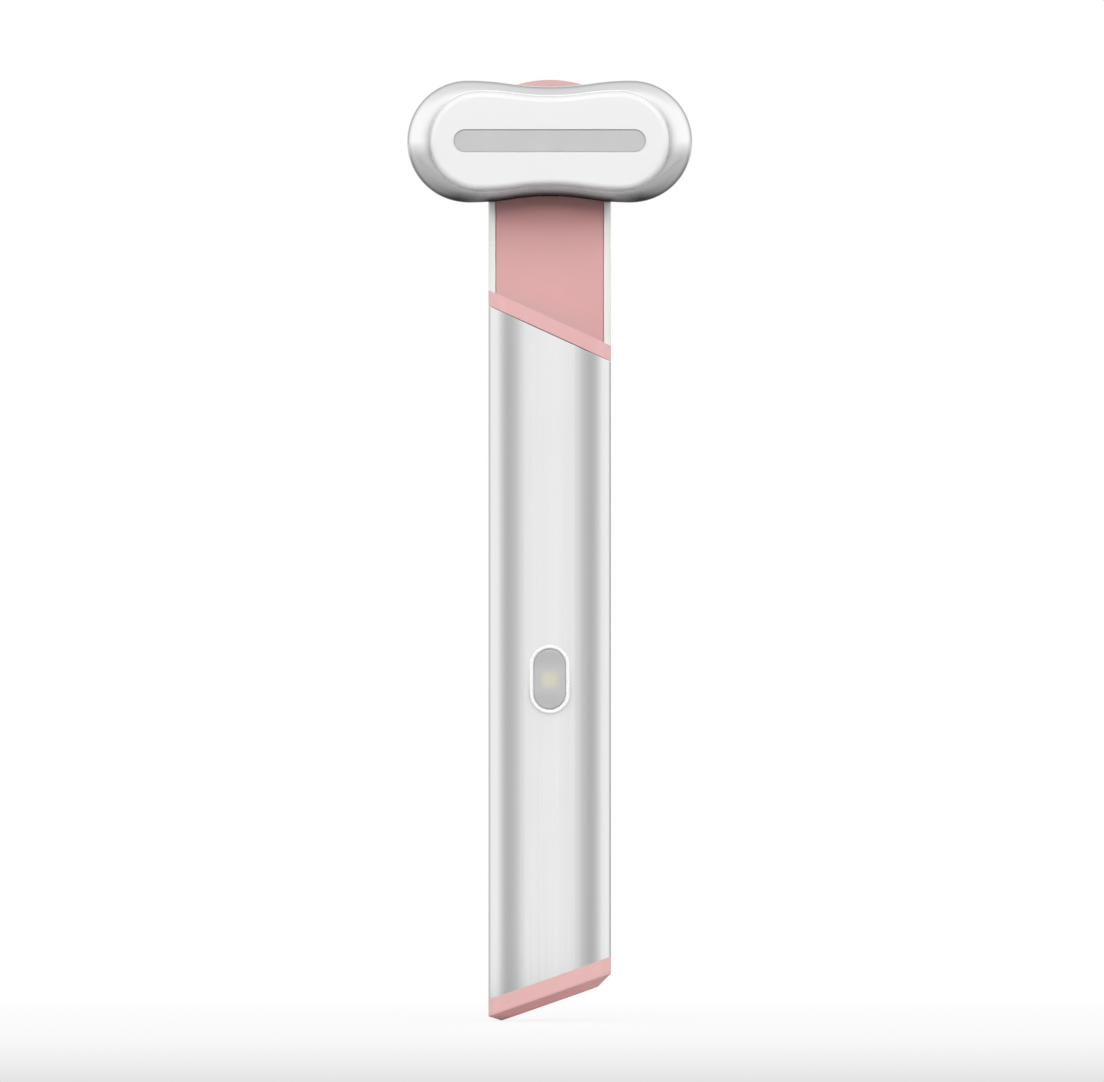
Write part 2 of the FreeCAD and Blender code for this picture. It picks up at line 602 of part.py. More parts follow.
# ---------------------------------------------------------------- bearing plug in the tube's top
INSERT = "-Sizes.tube_wall - Sizes.insert_gap"
bearing_plug = new_body("bearing_plug")
column(bearing_plug, f"{JOINT} - {JOINT_RISE} - Sizes.plug_height", f"{JOINT} + {JOINT_RISE}", INSERT)
cut_above(bearing_plug, JOINT)
cut_below(bearing_plug, f"{JOINT} - Sizes.plug_height")
bearing_bore = joint_sketch(bearing_plug)
circle(bearing_bore, "Sizes.spindle_radius + Sizes.running_gap")
pocket(bearing_plug, bearing_bore, "Sizes.tube_width", both_ways=True)
STOP_OUTER = "(Sizes.tube_depth / 2 - Sizes.tube_wall - Sizes.insert_gap - Sizes.stop_rim)"
STOP_INNER = f"({STOP_OUTER} - Sizes.stop_width)"
stop_groove = joint_sketch(bearing_plug)
ring_sector(
    stop_groove,
    STOP_INNER,
    STOP_OUTER,
    "-(Sizes.stop_angle + Sizes.stop_play)",
    "Sizes.swivel_range + Sizes.stop_angle + Sizes.stop_play",
)
pocket(bearing_plug, stop_groove, "Sizes.stop_depth")

# ---------------------------------------------------------------- collar, spindle, ring and washer
SEAM = "(Sizes.seam_gap * cos(Sizes.joint_tilt))"
PLUG_DEPTH = "(Sizes.plug_height * cos(Sizes.joint_tilt))"
COLLAR_DEPTH = "(Sizes.collar_height * cos(Sizes.joint_tilt))"
swivel_collar = new_body("swivel_collar")
column(swivel_collar, f"{JOINT} - {JOINT_RISE}", f"{COLLAR_TOP} + {JOINT_RISE}")
cut_above(swivel_collar, COLLAR_TOP)
cut_below(swivel_collar, COLLAR_FOOT)
collar_bore = joint_sketch(swivel_collar)
circle(collar_bore, "Sizes.spindle_radius")
pocket(swivel_collar, collar_bore, "Sizes.tube_width", both_ways=True)
stop_lug = joint_sketch(swivel_collar, f"{SEAM} + {COLLAR_DEPTH} / 2")
ring_sector(
    stop_lug,
    f"{STOP_INNER} + 3 * Sizes.running_gap",
    f"{STOP_OUTER} - 3 * Sizes.running_gap",
    "-Sizes.stop_angle",
    "Sizes.stop_angle",
)
LUG_REACH = "(Sizes.stop_depth - 4 * Sizes.running_gap)"
pad(swivel_collar, stop_lug, f"{SEAM} + {COLLAR_DEPTH} / 2 + {LUG_REACH}", flip=True)

RING_TOP = f"({PLUG_DEPTH} + Sizes.washer_thickness + 2 * Sizes.running_gap)"
swivel_spindle = new_body("swivel_spindle")
spindle_profile = joint_sketch(swivel_spindle, f"{SEAM} + {COLLAR_DEPTH}")
circle(spindle_profile, "Sizes.spindle_radius")
pad(swivel_spindle, spindle_profile, f"{SEAM} + {COLLAR_DEPTH} + Sizes.spindle_reach", flip=True)
wire_way = joint_sketch(swivel_spindle)
circle(wire_way, "Sizes.spindle_bore")
pocket(swivel_spindle, wire_way, "Sizes.tube_length", both_ways=True)
ring_groove = joint_sketch(swivel_spindle, f"-{RING_TOP}")
circle(ring_groove, "Sizes.spindle_radius + 1")
circle(ring_groove, "Sizes.spindle_radius - Sizes.ring_groove_depth")
pocket(swivel_spindle, ring_groove, "Sizes.ring_thickness + 2 * Sizes.running_gap")

retaining_ring = new_body("retaining_ring")
ring_profile = joint_sketch(retaining_ring, f"-{RING_TOP} - Sizes.running_gap")
ring_sector(
    ring_profile,
    "(Sizes.spindle_radius - Sizes.ring_groove_depth + Sizes.running_gap)",
    "Sizes.spindle_radius + Sizes.ring_width",
    "Sizes.ring_opening",
    "360 - Sizes.ring_opening",
)
pad(retaining_ring, ring_profile, "Sizes.ring_thickness", flip=True)

friction_washer = new_body("friction_washer")
washer_profile = joint_sketch(friction_washer, f"-{PLUG_DEPTH} - Sizes.running_gap")
circle(washer_profile, "Sizes.spindle_radius + Sizes.washer_width")
circle(washer_profile, "Sizes.spindle_radius + Sizes.running_gap")
pad(friction_washer, washer_profile, "Sizes.washer_thickness", flip=True)

# ---------------------------------------------------------------- neck frame and its covers
NECK_FACE = "(Sizes.tube_depth / 2 - Sizes.neck_inset)"
COVER_INNER = f"({NECK_FACE} - Sizes.cover_thickness)"
COVER_SIDE = "(Sizes.tube_width / 2 - Sizes.cover_inset)"


def cut_for_head(body, gap, back=f"{HEAD_BACK} - Sizes.seat_gap"):
    """Saddle for the head: its outline grown by gap, from its back to well past the front."""
    sketch = new_sketch(body, "XZ_Plane", y=HEAD, out=back)
    shell_outline(sketch, gap)
    pocket(body, sketch, "2 * Sizes.tube_depth", flip=True)


neck_frame = new_body("neck_frame")
column(neck_frame, f"{JOINT} - {JOINT_RISE}", NECK_TOP)
cut_below(neck_frame, COLLAR_TOP)
for side in ("", "-"):
    # Flats of the neck and the seats of the two covers.
    seat = new_sketch(neck_frame, "XY_Plane", out=f"{JOINT} - {JOINT_RISE}")
    half = "Sizes.tube_width"
    edge = COVER_SIDE
    flat, deep, away = f"{side}{NECK_FACE}", f"{side}{COVER_INNER}", f"{side}Sizes.tube_depth"
    polygon(
        seat,
        [
            (f"-{half}", away),
            (f"-{half}", flat),
            (f"-{edge}", flat),
            (f"-{edge}", deep),
            (edge, deep),
            (edge, flat),
            (half, flat),
            (half, away),
        ],
    )
    pocket(neck_frame, seat, "2 * Sizes.tube_length", flip=True)
channel = new_sketch(neck_frame, "XY_Plane", out=f"{JOINT} - {JOINT_RISE}")
CHANNEL_WIDTH = "(Sizes.tube_width - 2 * Sizes.neck_side_wall)"
CHANNEL_DEPTH = f"2 * ({COVER_INNER} - Sizes.neck_wall)"
rectangle(channel, CHANNEL_WIDTH, CHANNEL_DEPTH)
pocket(neck_frame, channel, "2 * Sizes.tube_length", flip=True)
cut_for_head(neck_frame, "Sizes.seat_gap")

for label, sign in (("neck_front_cover", "-"), ("neck_rear_cover", "")):
    cover = new_body(label)
    profile = new_sketch(cover, "XY_Plane", out=f"{JOINT} - {JOINT_RISE}")
    outer, inner = f"{sign}{NECK_FACE}", f"{sign}({COVER_INNER} + Sizes.cover_play)"
    side_edge = f"({COVER_SIDE} - Sizes.cover_play)"
    polygon(
        profile,
        [(f"-{side_edge}", outer), (side_edge, outer), (side_edge, inner), (f"-{side_edge}", inner)],
    )
    pad(cover, profile, f"{NECK_TOP} - ({JOINT} - {JOINT_RISE})")
    face = val(outer)
    long_edge = lambda edge: (
        abs(edge.BoundBox.YMin - face) < 1e-4
        and abs(edge.BoundBox.YMax - face) < 1e-4
        and edge.BoundBox.XLength < 1e-4
    )
    fillet(cover, long_edge, "Sizes.cover_edge")
    cut_below(cover, COLLAR_TOP)
    if sign:
        cut_for_head(cover, "Sizes.seat_gap")

# Pink dome that closes the neck behind the head.
neck_top_cap = new_body("neck_top_cap")
column(neck_top_cap, NECK_TOP, f"{DOME_TOP} + Sizes.dome_edge")
crown = new_sketch(neck_top_cap, "XZ_Plane", y=f"{DOME_TOP} - {DOME_RADIUS}")
circle(crown, f"4 * {DOME_RADIUS}")
circle(crown, DOME_RADIUS)
pocket(neck_top_cap, crown, "4 * Sizes.tube_depth", both_ways=True)
for near, far in (
    (NECK_FACE, "Sizes.tube_depth"),
    (f"-({HEAD_BACK} - Sizes.seat_gap)", "-Sizes.tube_depth"),
):
    trim = new_sketch(neck_top_cap, "XY_Plane", out=NECK_TOP)
    reach = "Sizes.tube_width"
    polygon(trim, [(f"-{reach}", near), (reach, near), (reach, far), (f"-{reach}", far)])
    pocket(neck_top_cap, trim, "Sizes.tube_length", flip=True)
cap_foot = val(NECK_TOP) + 1e-3
cap_front = val(f"-({HEAD_BACK} - Sizes.seat_gap)") + 1e-3
fillet(
    neck_top_cap,
    lambda edge: edge.BoundBox.ZMin > cap_foot and edge.BoundBox.YMax > cap_front,
    "Sizes.dome_edge",
)
spigot = new_sketch(neck_top_cap, "XY_Plane", out=NECK_TOP)
spigot_low = (
    f"-({HEAD_BACK} - Sizes.bracket_thickness - Sizes.bracket_screw_head_height - Sizes.seat_gap)"
)
spigot_high = f"({COVER_INNER} - Sizes.neck_wall - Sizes.seat_gap)"
spigot_side = f"({CHANNEL_WIDTH} / 2 - Sizes.seat_gap)"
polygon(
    spigot,
    [
        (f"-{spigot_side}", spigot_low),
        (spigot_side, spigot_low),
        (spigot_side, spigot_high),
        (f"-{spigot_side}", spigot_high),
    ],
)
SPIGOT_DEPTH = "Sizes.neck_over - Sizes.flex_thickness - Sizes.dome_spigot_room"
pad(neck_top_cap, spigot, SPIGOT_DEPTH, flip=True)

# ---------------------------------------------------------------- head shell
head_shell = new_body("head_shell")
outline = new_sketch(head_shell, "XZ_Plane", y=HEAD, out=SHELL_BACK)
shell_outline(outline)
pad(head_shell, outline, "Sizes.shell_depth")
fillet(head_shell, at_front(SHELL_FACE), "Sizes.shell_round")
cavity = new_sketch(head_shell, "XZ_Plane", y=HEAD, out=SHELL_BACK)
shell_outline(cavity, "-Sizes.shell_wall")
pocket(head_shell, cavity, "Sizes.shell_depth - Sizes.shell_front", flip=True)
fillet(head_shell, at_front(SHELL_INNER), "Sizes.shell_inner_round")
recess = new_sketch(head_shell, "XZ_Plane", y=HEAD, out=SHELL_FACE)
plate_outline(recess, "Sizes.seat_gap")
pocket(head_shell, recess, "Sizes.plate_seat")
opening = new_sketch(head_shell, "XZ_Plane", y=HEAD, out=SHELL_FACE)
plate_outline(opening, "-Sizes.plate_ledge")
pocket(head_shell, opening, "2 * Sizes.shell_front")

# ---------------------------------------------------------------- warm plate and light bar
contact_plate = new_body("contact_plate")
plate_profile = new_sketch(contact_plate, "XZ_Plane", y=HEAD, out=PLATE_BACK)
plate_outline(plate_profile)
pad(contact_plate, plate_profile, "Sizes.plate_seat + Sizes.plate_rise")
PLATE_FACE = f"({SHELL_FACE} + Sizes.plate_rise)"
fillet(contact_plate, at_front(PLATE_FACE), "Sizes.plate_round")
slot = new_sketch(contact_plate, "XZ_Plane", y=HEAD, out=PLATE_FACE)
stadium(slot, f"{WINDOW_LENGTH} + 2 * Sizes.window_play", "Sizes.window_height + 2 * Sizes.window_play")
pocket(contact_plate, slot, "2 * (Sizes.plate_seat + Sizes.plate_rise)")
slot_reach = val(f"{WINDOW_LENGTH} / 2 + Sizes.window_height")
slot_low = val(f"{HEAD} - Sizes.window_height")
slot_high = val(f"{HEAD} + Sizes.window_height")
chamfer(
    contact_plate,
    at_front_within(PLATE_FACE, slot_reach, slot_low, slot_high),
    "Sizes.slot_break",
    "Sizes.slot_break",
)

# The bar's flange fills the room between the plate and the light chips.
FLANGE_DEPTH = "(Sizes.shell_front - Sizes.plate_seat - Sizes.chip_height - Sizes.running_gap)"
light_window = new_body("light_window")
flange = new_sketch(light_window, "XZ_Plane", y=HEAD, out=f"{PLATE_BACK} - {FLANGE_DEPTH}")
stadium(
    flange,
    f"{WINDOW_LENGTH} + 2 * Sizes.window_flange",
    "Sizes.window_height + 2 * Sizes.window_flange",
)
pad(light_window, flange, FLANGE_DEPTH)
bar = new_sketch(light_window, "XZ_Plane", y=HEAD, out=PLATE_BACK)
stadium(bar, WINDOW_LENGTH, "Sizes.window_height")
pad(light_window, bar, "Sizes.plate_seat + Sizes.plate_rise - Sizes.window_set_back")

heater_film = new_body("heater_film")
film = new_sketch(
    heater_film, "XZ_Plane", y=HEAD, out=f"{PLATE_BACK} - Sizes.heater_thickness"
)
plate_outline(film, "-Sizes.plate_ledge - Sizes.seat_gap")
stadium(
    film,
    f"{WINDOW_LENGTH} + 2 * Sizes.window_flange + 2 * Sizes.heater_slot_gap",
    "Sizes.heater_slot_height",
)
pad(heater_film, film, "Sizes.heater_thickness")

temperature_sensor = new_body("temperature_sensor")
bead = new_sketch(
    temperature_sensor,
    "XZ_Plane",
    y=f"{HEAD} + Sizes.heater_slot_height / 2 + Sizes.sensor_height",
    out=SHELL_INNER,
)
rectangle(bead, "Sizes.sensor_length", "Sizes.sensor_height", x=PLATE_OFFSET)
pad(temperature_sensor, bead, f"{PLATE_BACK} - Sizes.heater_thickness - {SHELL_INNER}")

# Light board against the shell's front wall, with its row of chips behind the bar.
led_board = new_body("led_board")
board = new_sketch(
    led_board, "XZ_Plane", y=HEAD, out=f"{SHELL_INNER} - Sizes.board_thickness"
)
shell_outline(board, "-Sizes.shell_wall - Sizes.shell_inner_round")
pad(led_board, board, "Sizes.board_thickness")
chip = new_sketch(led_board, "XZ_Plane", y=HEAD, out=SHELL_INNER)
CHIP_START = "-(Sizes.chip_count - 1) * Sizes.chip_pitch / 2"
rectangle(chip, "Sizes.chip_size", "Sizes.chip_size", x=CHIP_START)
first_chip = pad(led_board, chip, "Sizes.chip_height")
row_of_chips = led_board.newObject("PartDesign::LinearPattern", "LinearPattern")
row_of_chips.Originals = [first_chip]
row_of_chips.Direction = (chip, ["H_Axis"])
row_of_chips.setExpression("Occurrences", "Sizes.chip_count")
row_of_chips.setExpression("Length", "(Sizes.chip_count - 1) * Sizes.chip_pitch")
led_board.Tip = row_of_chips
doc.recompute()

# ---------------------------------------------------------------- rear cover of the head
BRACKET_SIDE = f"({CHANNEL_WIDTH} / 2 - Sizes.bracket_play)"
SCREW_SIDE = f"({BRACKET_SIDE} - Sizes.bracket_screw_edge)"
head_rear_cover = new_body("head_rear_cover")
back_outline = new_sketch(head_rear_cover, "XZ_Plane", y=HEAD, out=HEAD_BACK)
shell_outline(back_outline)
pad(head_rear_cover, back_outline, "Sizes.cover_depth")
fillet(head_rear_cover, at_front(HEAD_BACK), "Sizes.cover_depth - Sizes.cover_rim")
lip = new_sketch(head_rear_cover, "XZ_Plane", y=HEAD, out=BACK_INNER)
shell_outline(lip, "-Sizes.shell_wall - Sizes.seat_gap")
LIP_TOP = "(Sizes.cover_depth - Sizes.back_floor + Sizes.lip_height)"
pad(head_rear_cover, lip, LIP_TOP)
well = new_sketch(head_rear_cover, "XZ_Plane", y=HEAD, out=BACK_INNER)
shell_outline(well, "-Sizes.shell_wall - Sizes.seat_gap - Sizes.lip_wall")
pocket(head_rear_cover, well, f"2 * {LIP_TOP}", flip=True)
way_through = new_sketch(head_rear_cover, "XZ_Plane", y=HEAD, out=BACK_INNER)
rectangle(way_through, "Sizes.wire_hole_width", "Sizes.wire_hole_height")
pocket(head_rear_cover, way_through, "2 * Sizes.back_floor")
SCREW_LENGTH = "(Sizes.back_floor + Sizes.bracket_screw_grip)"
bosses = new_sketch(head_rear_cover, "XZ_Plane", y=HEAD, out=BACK_INNER)
for side in ("-", ""):
    circle(bosses, "2 * Sizes.bracket_screw_radius", x=f"{side}{SCREW_SIDE}")
pad(head_rear_cover, bosses, "Sizes.screw_boss_height")
screw_holes = new_sketch(head_rear_cover, "XZ_Plane", y=HEAD, out=HEAD_BACK)
for side in ("-", ""):
    circle(screw_holes, "Sizes.bracket_screw_radius", x=f"{side}{SCREW_SIDE}")
pocket(head_rear_cover, screw_holes, SCREW_LENGTH, flip=True)

# ---------------------------------------------------------------- bracket and screws behind the head
head_bracket = new_body("head_bracket")
BRACKET_FRONT = f"({HEAD_BACK} - Sizes.bracket_thickness)"
plate = new_sketch(head_bracket, "XZ_Plane", y=HEAD, out=BRACKET_FRONT)
polygon(
    plate,
    [
        (f"-{BRACKET_SIDE}", "-Sizes.bracket_below"),
        (BRACKET_SIDE, "-Sizes.bracket_below"),
        (BRACKET_SIDE, "Sizes.bracket_above"),
        (f"-{BRACKET_SIDE}", "Sizes.bracket_above"),
    ],
)
pad(head_bracket, plate, "Sizes.bracket_thickness")
bracket_holes = new_sketch(head_bracket, "XZ_Plane", y=HEAD, out=BRACKET_FRONT)
for side in ("-", ""):
    circle(
        bracket_holes,
        "Sizes.bracket_screw_radius + Sizes.running_gap",
        x=f"{side}{SCREW_SIDE}",
    )
rectangle(bracket_holes, "Sizes.wire_hole_width", "Sizes.wire_hole_height")
pocket(head_bracket, bracket_holes, "2 * Sizes.bracket_thickness", flip=True)

for label, side in (("bracket_screw_left", "-"), ("bracket_screw_right", "")):
    screw = new_body(label)
    centre = f"{side}{SCREW_SIDE}"
    shank = new_sketch(screw, "XZ_Plane", y=HEAD, out=BRACKET_FRONT)
    circle(shank, "Sizes.bracket_screw_radius", x=centre)
    pad(screw, shank, f"Sizes.bracket_thickness + {SCREW_LENGTH}")
    head = new_sketch(screw, "XZ_Plane", y=HEAD, out=BRACKET_FRONT)
    circle(head, "Sizes.bracket_screw_head", x=centre)
    pad(screw, head, "Sizes.bracket_screw_head_height", flip=True)
    drive = new_sketch(
        screw, "XZ_Plane", y=HEAD, out=f"{BRACKET_FRONT} - Sizes.bracket_screw_head_height"
    )
    rectangle(drive, "2 * Sizes.bracket_screw_head + 1", "Sizes.bracket_screw_radius / 2", x=centre)
    pocket(screw, drive, "Sizes.bracket_screw_head_height / 2", flip=True)

# ---------------------------------------------------------------- vibration motor in the left lobe
MOTOR_Y = f"-({BACK_INNER} + Sizes.motor_radius + Sizes.motor_lift)"
MOTOR_END = "(Sizes.lobe_offset + Sizes.lobe_radius - Sizes.motor_margin)"
MOTOR_INNER = f"(Sizes.motor_length - {MOTOR_END})"


def motor_sketch(body, x):
    """Sketch square to the motor's axis, at x."""
    return new_sketch(body, "YZ_Plane", x=MOTOR_Y, y=HEAD, out=x)


motor_can = new_body("motor_can")
can = motor_sketch(motor_can, f"-{MOTOR_END}")
circle(can, "Sizes.motor_radius")
pad(motor_can, can, "Sizes.motor_length")
can_bore = motor_sketch(motor_can, f"-{MOTOR_END}")
circle(can_bore, "Sizes.shaft_radius + Sizes.running_gap")
pocket(motor_can, can_bore, "Sizes.motor_length - Sizes.motor_cap", flip=True)

WEIGHT_OUTER = f"(-{MOTOR_END} - Sizes.weight_gap - Sizes.weight_length)"
motor_shaft = new_body("motor_shaft")
shaft = motor_sketch(motor_shaft, WEIGHT_OUTER)
circle(shaft, "Sizes.shaft_radius")
pad(motor_shaft, shaft, "Sizes.shaft_length")

eccentric_weight = new_body("eccentric_weight")
hub = motor_sketch(eccentric_weight, WEIGHT_OUTER)
circle(hub, "Sizes.weight_hub")
pad(eccentric_weight, hub, "Sizes.weight_length")
lobe = motor_sketch(eccentric_weight, WEIGHT_OUTER)
ring_sector(lobe, "Sizes.shaft_radius * 1.4", "Sizes.weight_radius", "200", "340")
pad(eccentric_weight, lobe, "Sizes.weight_length")
weight_bore = motor_sketch(eccentric_weight, WEIGHT_OUTER)
circle(weight_bore, "Sizes.shaft_radius")
pocket(eccentric_weight, weight_bore, "2 * Sizes.weight_length", flip=True)

motor_cradle = new_body("motor_cradle")
CRADLE_X = f"((Sizes.motor_length - Sizes.cradle_length) / 2 - {MOTOR_END})"
clip = new_sketch(motor_cradle, "YZ_Plane", y=HEAD, out=CRADLE_X)
clip_back, clip_front = f"-{BACK_INNER}", f"-({BACK_INNER} + Sizes.cradle_depth)"
polygon(
    clip,
    [
        (clip_front, "-Sizes.cradle_width / 2"),
        (clip_back, "-Sizes.cradle_width / 2"),
        (clip_back, "Sizes.cradle_width / 2"),
        (clip_front, "Sizes.cradle_width / 2"),
    ],
)
pad(motor_cradle, clip, "Sizes.cradle_length")
clip_seat = motor_sketch(motor_cradle, CRADLE_X)
circle(clip_seat, "Sizes.motor_radius + Sizes.running_gap")
pocket(motor_cradle, clip_seat, "2 * Sizes.cradle_length", flip=True)

# ---------------------------------------------------------------- flat cable through the neck
flex_cable = new_body("flex_cable")
route = new_sketch(flex_cable, "YZ_Plane")
thin = "Sizes.flex_thickness"
start_y = f"-({SHELL_INNER} - Sizes.board_thickness)"
back_y = f"({COVER_INNER} - Sizes.neck_wall - Sizes.running_gap)"
level = HEAD
low_y = "Sizes.flex_offset"
bend = "Sizes.flex_bend"
bottom = f"({JOINT} - Sizes.flex_drop)"
dip = f"({bottom} + Sizes.flex_dip)"
slope = f"({dip} + Sizes.flex_slope)"
polygon(
    route,
    [
        (start_y, level),
        (f"{back_y} - {thin} - {bend}", level),
        (f"{back_y} - {thin}", f"{level} - {bend}"),
        (f"{back_y} - {thin}", slope),
        (low_y, dip),
        (low_y, bottom),
        (f"{low_y} + {thin}", bottom),
        (f"{low_y} + {thin}", dip),
        (back_y, slope),
        (back_y, f"{level} - {bend}"),
        (f"{back_y} - {bend}", f"{level} + {thin}"),
        (start_y, f"{level} + {thin}"),
    ],
)
pad(flex_cable, route, "Sizes.flex_width", both_ways=True)

# ---------------------------------------------------------------- button, its ring, switch and light
button_bezel = new_body("button_bezel")
rim = new_sketch(button_bezel, "XZ_Plane", y="Sizes.button_height", out=TUBE_FRONT)
stadium(
    rim,
    "Sizes.button_length + 2 * Sizes.bezel_rim",
    "Sizes.button_width + 2 * Sizes.bezel_rim",
    upright=True,
)
pad(button_bezel, rim, "Sizes.bezel_rise")
sleeve = new_sketch(button_bezel, "XZ_Plane", y="Sizes.button_height", out=TUBE_FRONT)
stadium(sleeve, SLEEVE_LENGTH, SLEEVE_WIDTH, upright=True)
pad(button_bezel, sleeve, "Sizes.bezel_depth", flip=True)
ring_opening = new_sketch(button_bezel, "XZ_Plane", y="Sizes.button_height", out=TUBE_FRONT)
stadium(ring_opening, "Sizes.button_length", "Sizes.button_width", upright=True)
pocket(button_bezel, ring_opening, "4 * Sizes.bezel_depth", both_ways=True)
fillet(button_bezel, at_front(f"{TUBE_FRONT} + Sizes.bezel_rise"), "Sizes.bezel_round")

button_cap = new_body("button_cap")
cap_profile = new_sketch(button_cap, "XZ_Plane", y="Sizes.button_height", out=BUTTON_BACK)
CAP_LENGTH = "(Sizes.button_length - 2 * Sizes.button_gap)"
CAP_WIDTH = "(Sizes.button_width - 2 * Sizes.button_gap)"
stadium(cap_profile, CAP_LENGTH, CAP_WIDTH, upright=True)
pad(button_cap, cap_profile, f"{BUTTON_FACE} - {BUTTON_BACK}")
fillet(button_cap, at_front(BUTTON_FACE), "Sizes.button_round")
keeper = new_sketch(button_cap, "XZ_Plane", y="Sizes.button_height", out=BUTTON_BACK)
stadium(
    keeper,
    f"{CAP_LENGTH} + 2 * Sizes.button_flange",
    f"{CAP_WIDTH} + 2 * Sizes.button_flange",
    upright=True,
)
pad(button_cap, keeper, "Sizes.button_flange_depth")
presser = new_sketch(button_cap, "XZ_Plane", y=SWITCH_HEIGHT, out=f"{PLUNGER_TOP} + Sizes.running_gap")
circle(presser, "Sizes.button_boss")
pad(button_cap, presser, "Sizes.button_boss_rise + Sizes.button_flange_depth")

switch_body = new_body("switch_body")
switch_profile = new_sketch(switch_body, "XZ_Plane", y=SWITCH_HEIGHT, out=BOARD_FRONT)
rectangle(switch_profile, "Sizes.switch_size", "Sizes.switch_size")
pad(switch_body, switch_profile, "Sizes.switch_height")
plunger_bore = new_sketch(switch_body, "XZ_Plane", y=SWITCH_HEIGHT, out=SWITCH_TOP)
circle(plunger_bore, "Sizes.plunger_radius + Sizes.running_gap")
pocket(switch_body, plunger_bore, "Sizes.switch_height - Sizes.running_gap")

switch_plunger = new_body("switch_plunger")
plunger = new_sketch(
    switch_plunger, "XZ_Plane", y=SWITCH_HEIGHT, out=f"{PLUNGER_TOP} - Sizes.plunger_length"
)
circle(plunger, "Sizes.plunger_radius")
pad(switch_plunger, plunger, "Sizes.plunger_length")

status_led = new_body("status_led")
led = new_sketch(status_led, "XZ_Plane", y="Sizes.button_height", out=BOARD_FRONT)
rectangle(led, "Sizes.led_size", "Sizes.led_size")
pad(status_led, led, "Sizes.led_height")

# ---------------------------------------------------------------- main board with its parts
main_board = new_body("main_board")
panel = new_sketch(main_board, "XZ_Plane", y="Sizes.board_centre", out=BOARD_BACK)
rounded(panel, "Sizes.tube_width - 2 * Sizes.board_margin", "Sizes.board_length", "Sizes.board_corner")
pad(main_board, panel, "Sizes.main_board_thickness")
CONNECTOR_UP = "(Sizes.board_length / 2 - Sizes.connector_margin)"


def board_part(x, y, width, height, rise):
    """Block soldered to the front of the board, x and y from the board's middle."""
    outline = new_sketch(main_board, "XZ_Plane", y="Sizes.board_centre", out=BOARD_FRONT)
    rectangle(outline, width, height, x=x, y=y)
    pad(main_board, outline, rise)


for end in ("", "-"):
    board_part("0", end + CONNECTOR_UP, "Sizes.connector_width", "Sizes.connector_height",
               "Sizes.connector_rise")
for x, y, size, rise in (
    ("-Sizes.component_side", "Sizes.controller_height", "Sizes.controller_size", "Sizes.controller_rise"),
    ("Sizes.component_side", "Sizes.controller_height", "Sizes.coil_size", "Sizes.coil_rise"),
    ("-Sizes.component_side", "-Sizes.charger_drop", "Sizes.coil_size", "Sizes.coil_rise"),
    ("Sizes.component_side", "-Sizes.charger_drop", "Sizes.charger_size", "Sizes.controller_rise"),
):
    board_part(x, y, size, size, rise)

# ---------------------------------------------------------------- tray, cell and foam
inner_tray = new_body("inner_tray")
TRAY_OUTER = "-Sizes.tube_wall - 2 * Sizes.insert_gap"
TRAY_BOTTOM = f"({BASE} + Sizes.spigot_height + Sizes.tray_end_gap)"
column(inner_tray, f"{TRAY_BOTTOM} - {BASE_RISE}", f"{JOINT} - Sizes.tray_drop", TRAY_OUTER)
tray_hollow = new_sketch(inner_tray, "XY_Plane", out=f"{TRAY_BOTTOM} - {BASE_RISE}")
TRAY_INNER = "(Sizes.tube_wall + 2 * Sizes.insert_gap + Sizes.tray_wall)"
rounded(
    tray_hollow,
    f"Sizes.tube_width - 2 * {TRAY_INNER}",
    f"Sizes.tube_depth - 2 * {TRAY_INNER}",
    f"Sizes.tube_corner - {TRAY_INNER}",
)
pocket(inner_tray, tray_hollow, "2 * Sizes.tube_length", flip=True)
TRAY_FLOOR = f"(Sizes.tube_depth / 2 - {TRAY_INNER})"
CELL_LOW = "(Sizes.cell_centre - Sizes.cell_length / 2 - Sizes.rib_gap)"
CELL_ROOM = "(Sizes.cell_length + Sizes.cell_tab + 2 * Sizes.rib_gap)"
rib = new_sketch(inner_tray, "XY_Plane", out=f"{CELL_LOW} - Sizes.rib_thickness")
rib_side = "(Sizes.tube_width / 2 - Sizes.tube_corner)"
rib_foot = f"({TRAY_FLOOR} + Sizes.tray_wall / 2)"
rib_top = f"({TRAY_FLOOR} - Sizes.rib_rise)"
polygon(
    rib,
    [
        (f"-{rib_side}", rib_top),
        (rib_side, rib_top),
        (rib_side, rib_foot),
        (f"-{rib_side}", rib_foot),
    ],
)
first_rib = pad(inner_tray, rib, "Sizes.rib_thickness")
ribs = inner_tray.newObject("PartDesign::LinearPattern", "LinearPattern")
ribs.Originals = [first_rib]
ribs.Direction = (rib, ["N_Axis"])
ribs.Occurrences = 2
ribs.setExpression("Length", f"{CELL_ROOM} + Sizes.rib_thickness")
inner_tray.Tip = ribs
doc.recompute()
open_front = new_sketch(inner_tray, "XY_Plane", out=f"{TRAY_BOTTOM} - {BASE_RISE}")
polygon(
    open_front,
    [
        ("-Sizes.tube_width", "-Sizes.tube_depth"),
        ("Sizes.tube_width", "-Sizes.tube_depth"),
        ("Sizes.tube_width", f"-{BOARD_BACK}"),
        ("-Sizes.tube_width", f"-{BOARD_BACK}"),
    ],
)
pocket(inner_tray, open_front, "2 * Sizes.tube_length", flip=True)
cut_below(inner_tray, TRAY_BOTTOM, "-Sizes.base_tilt")

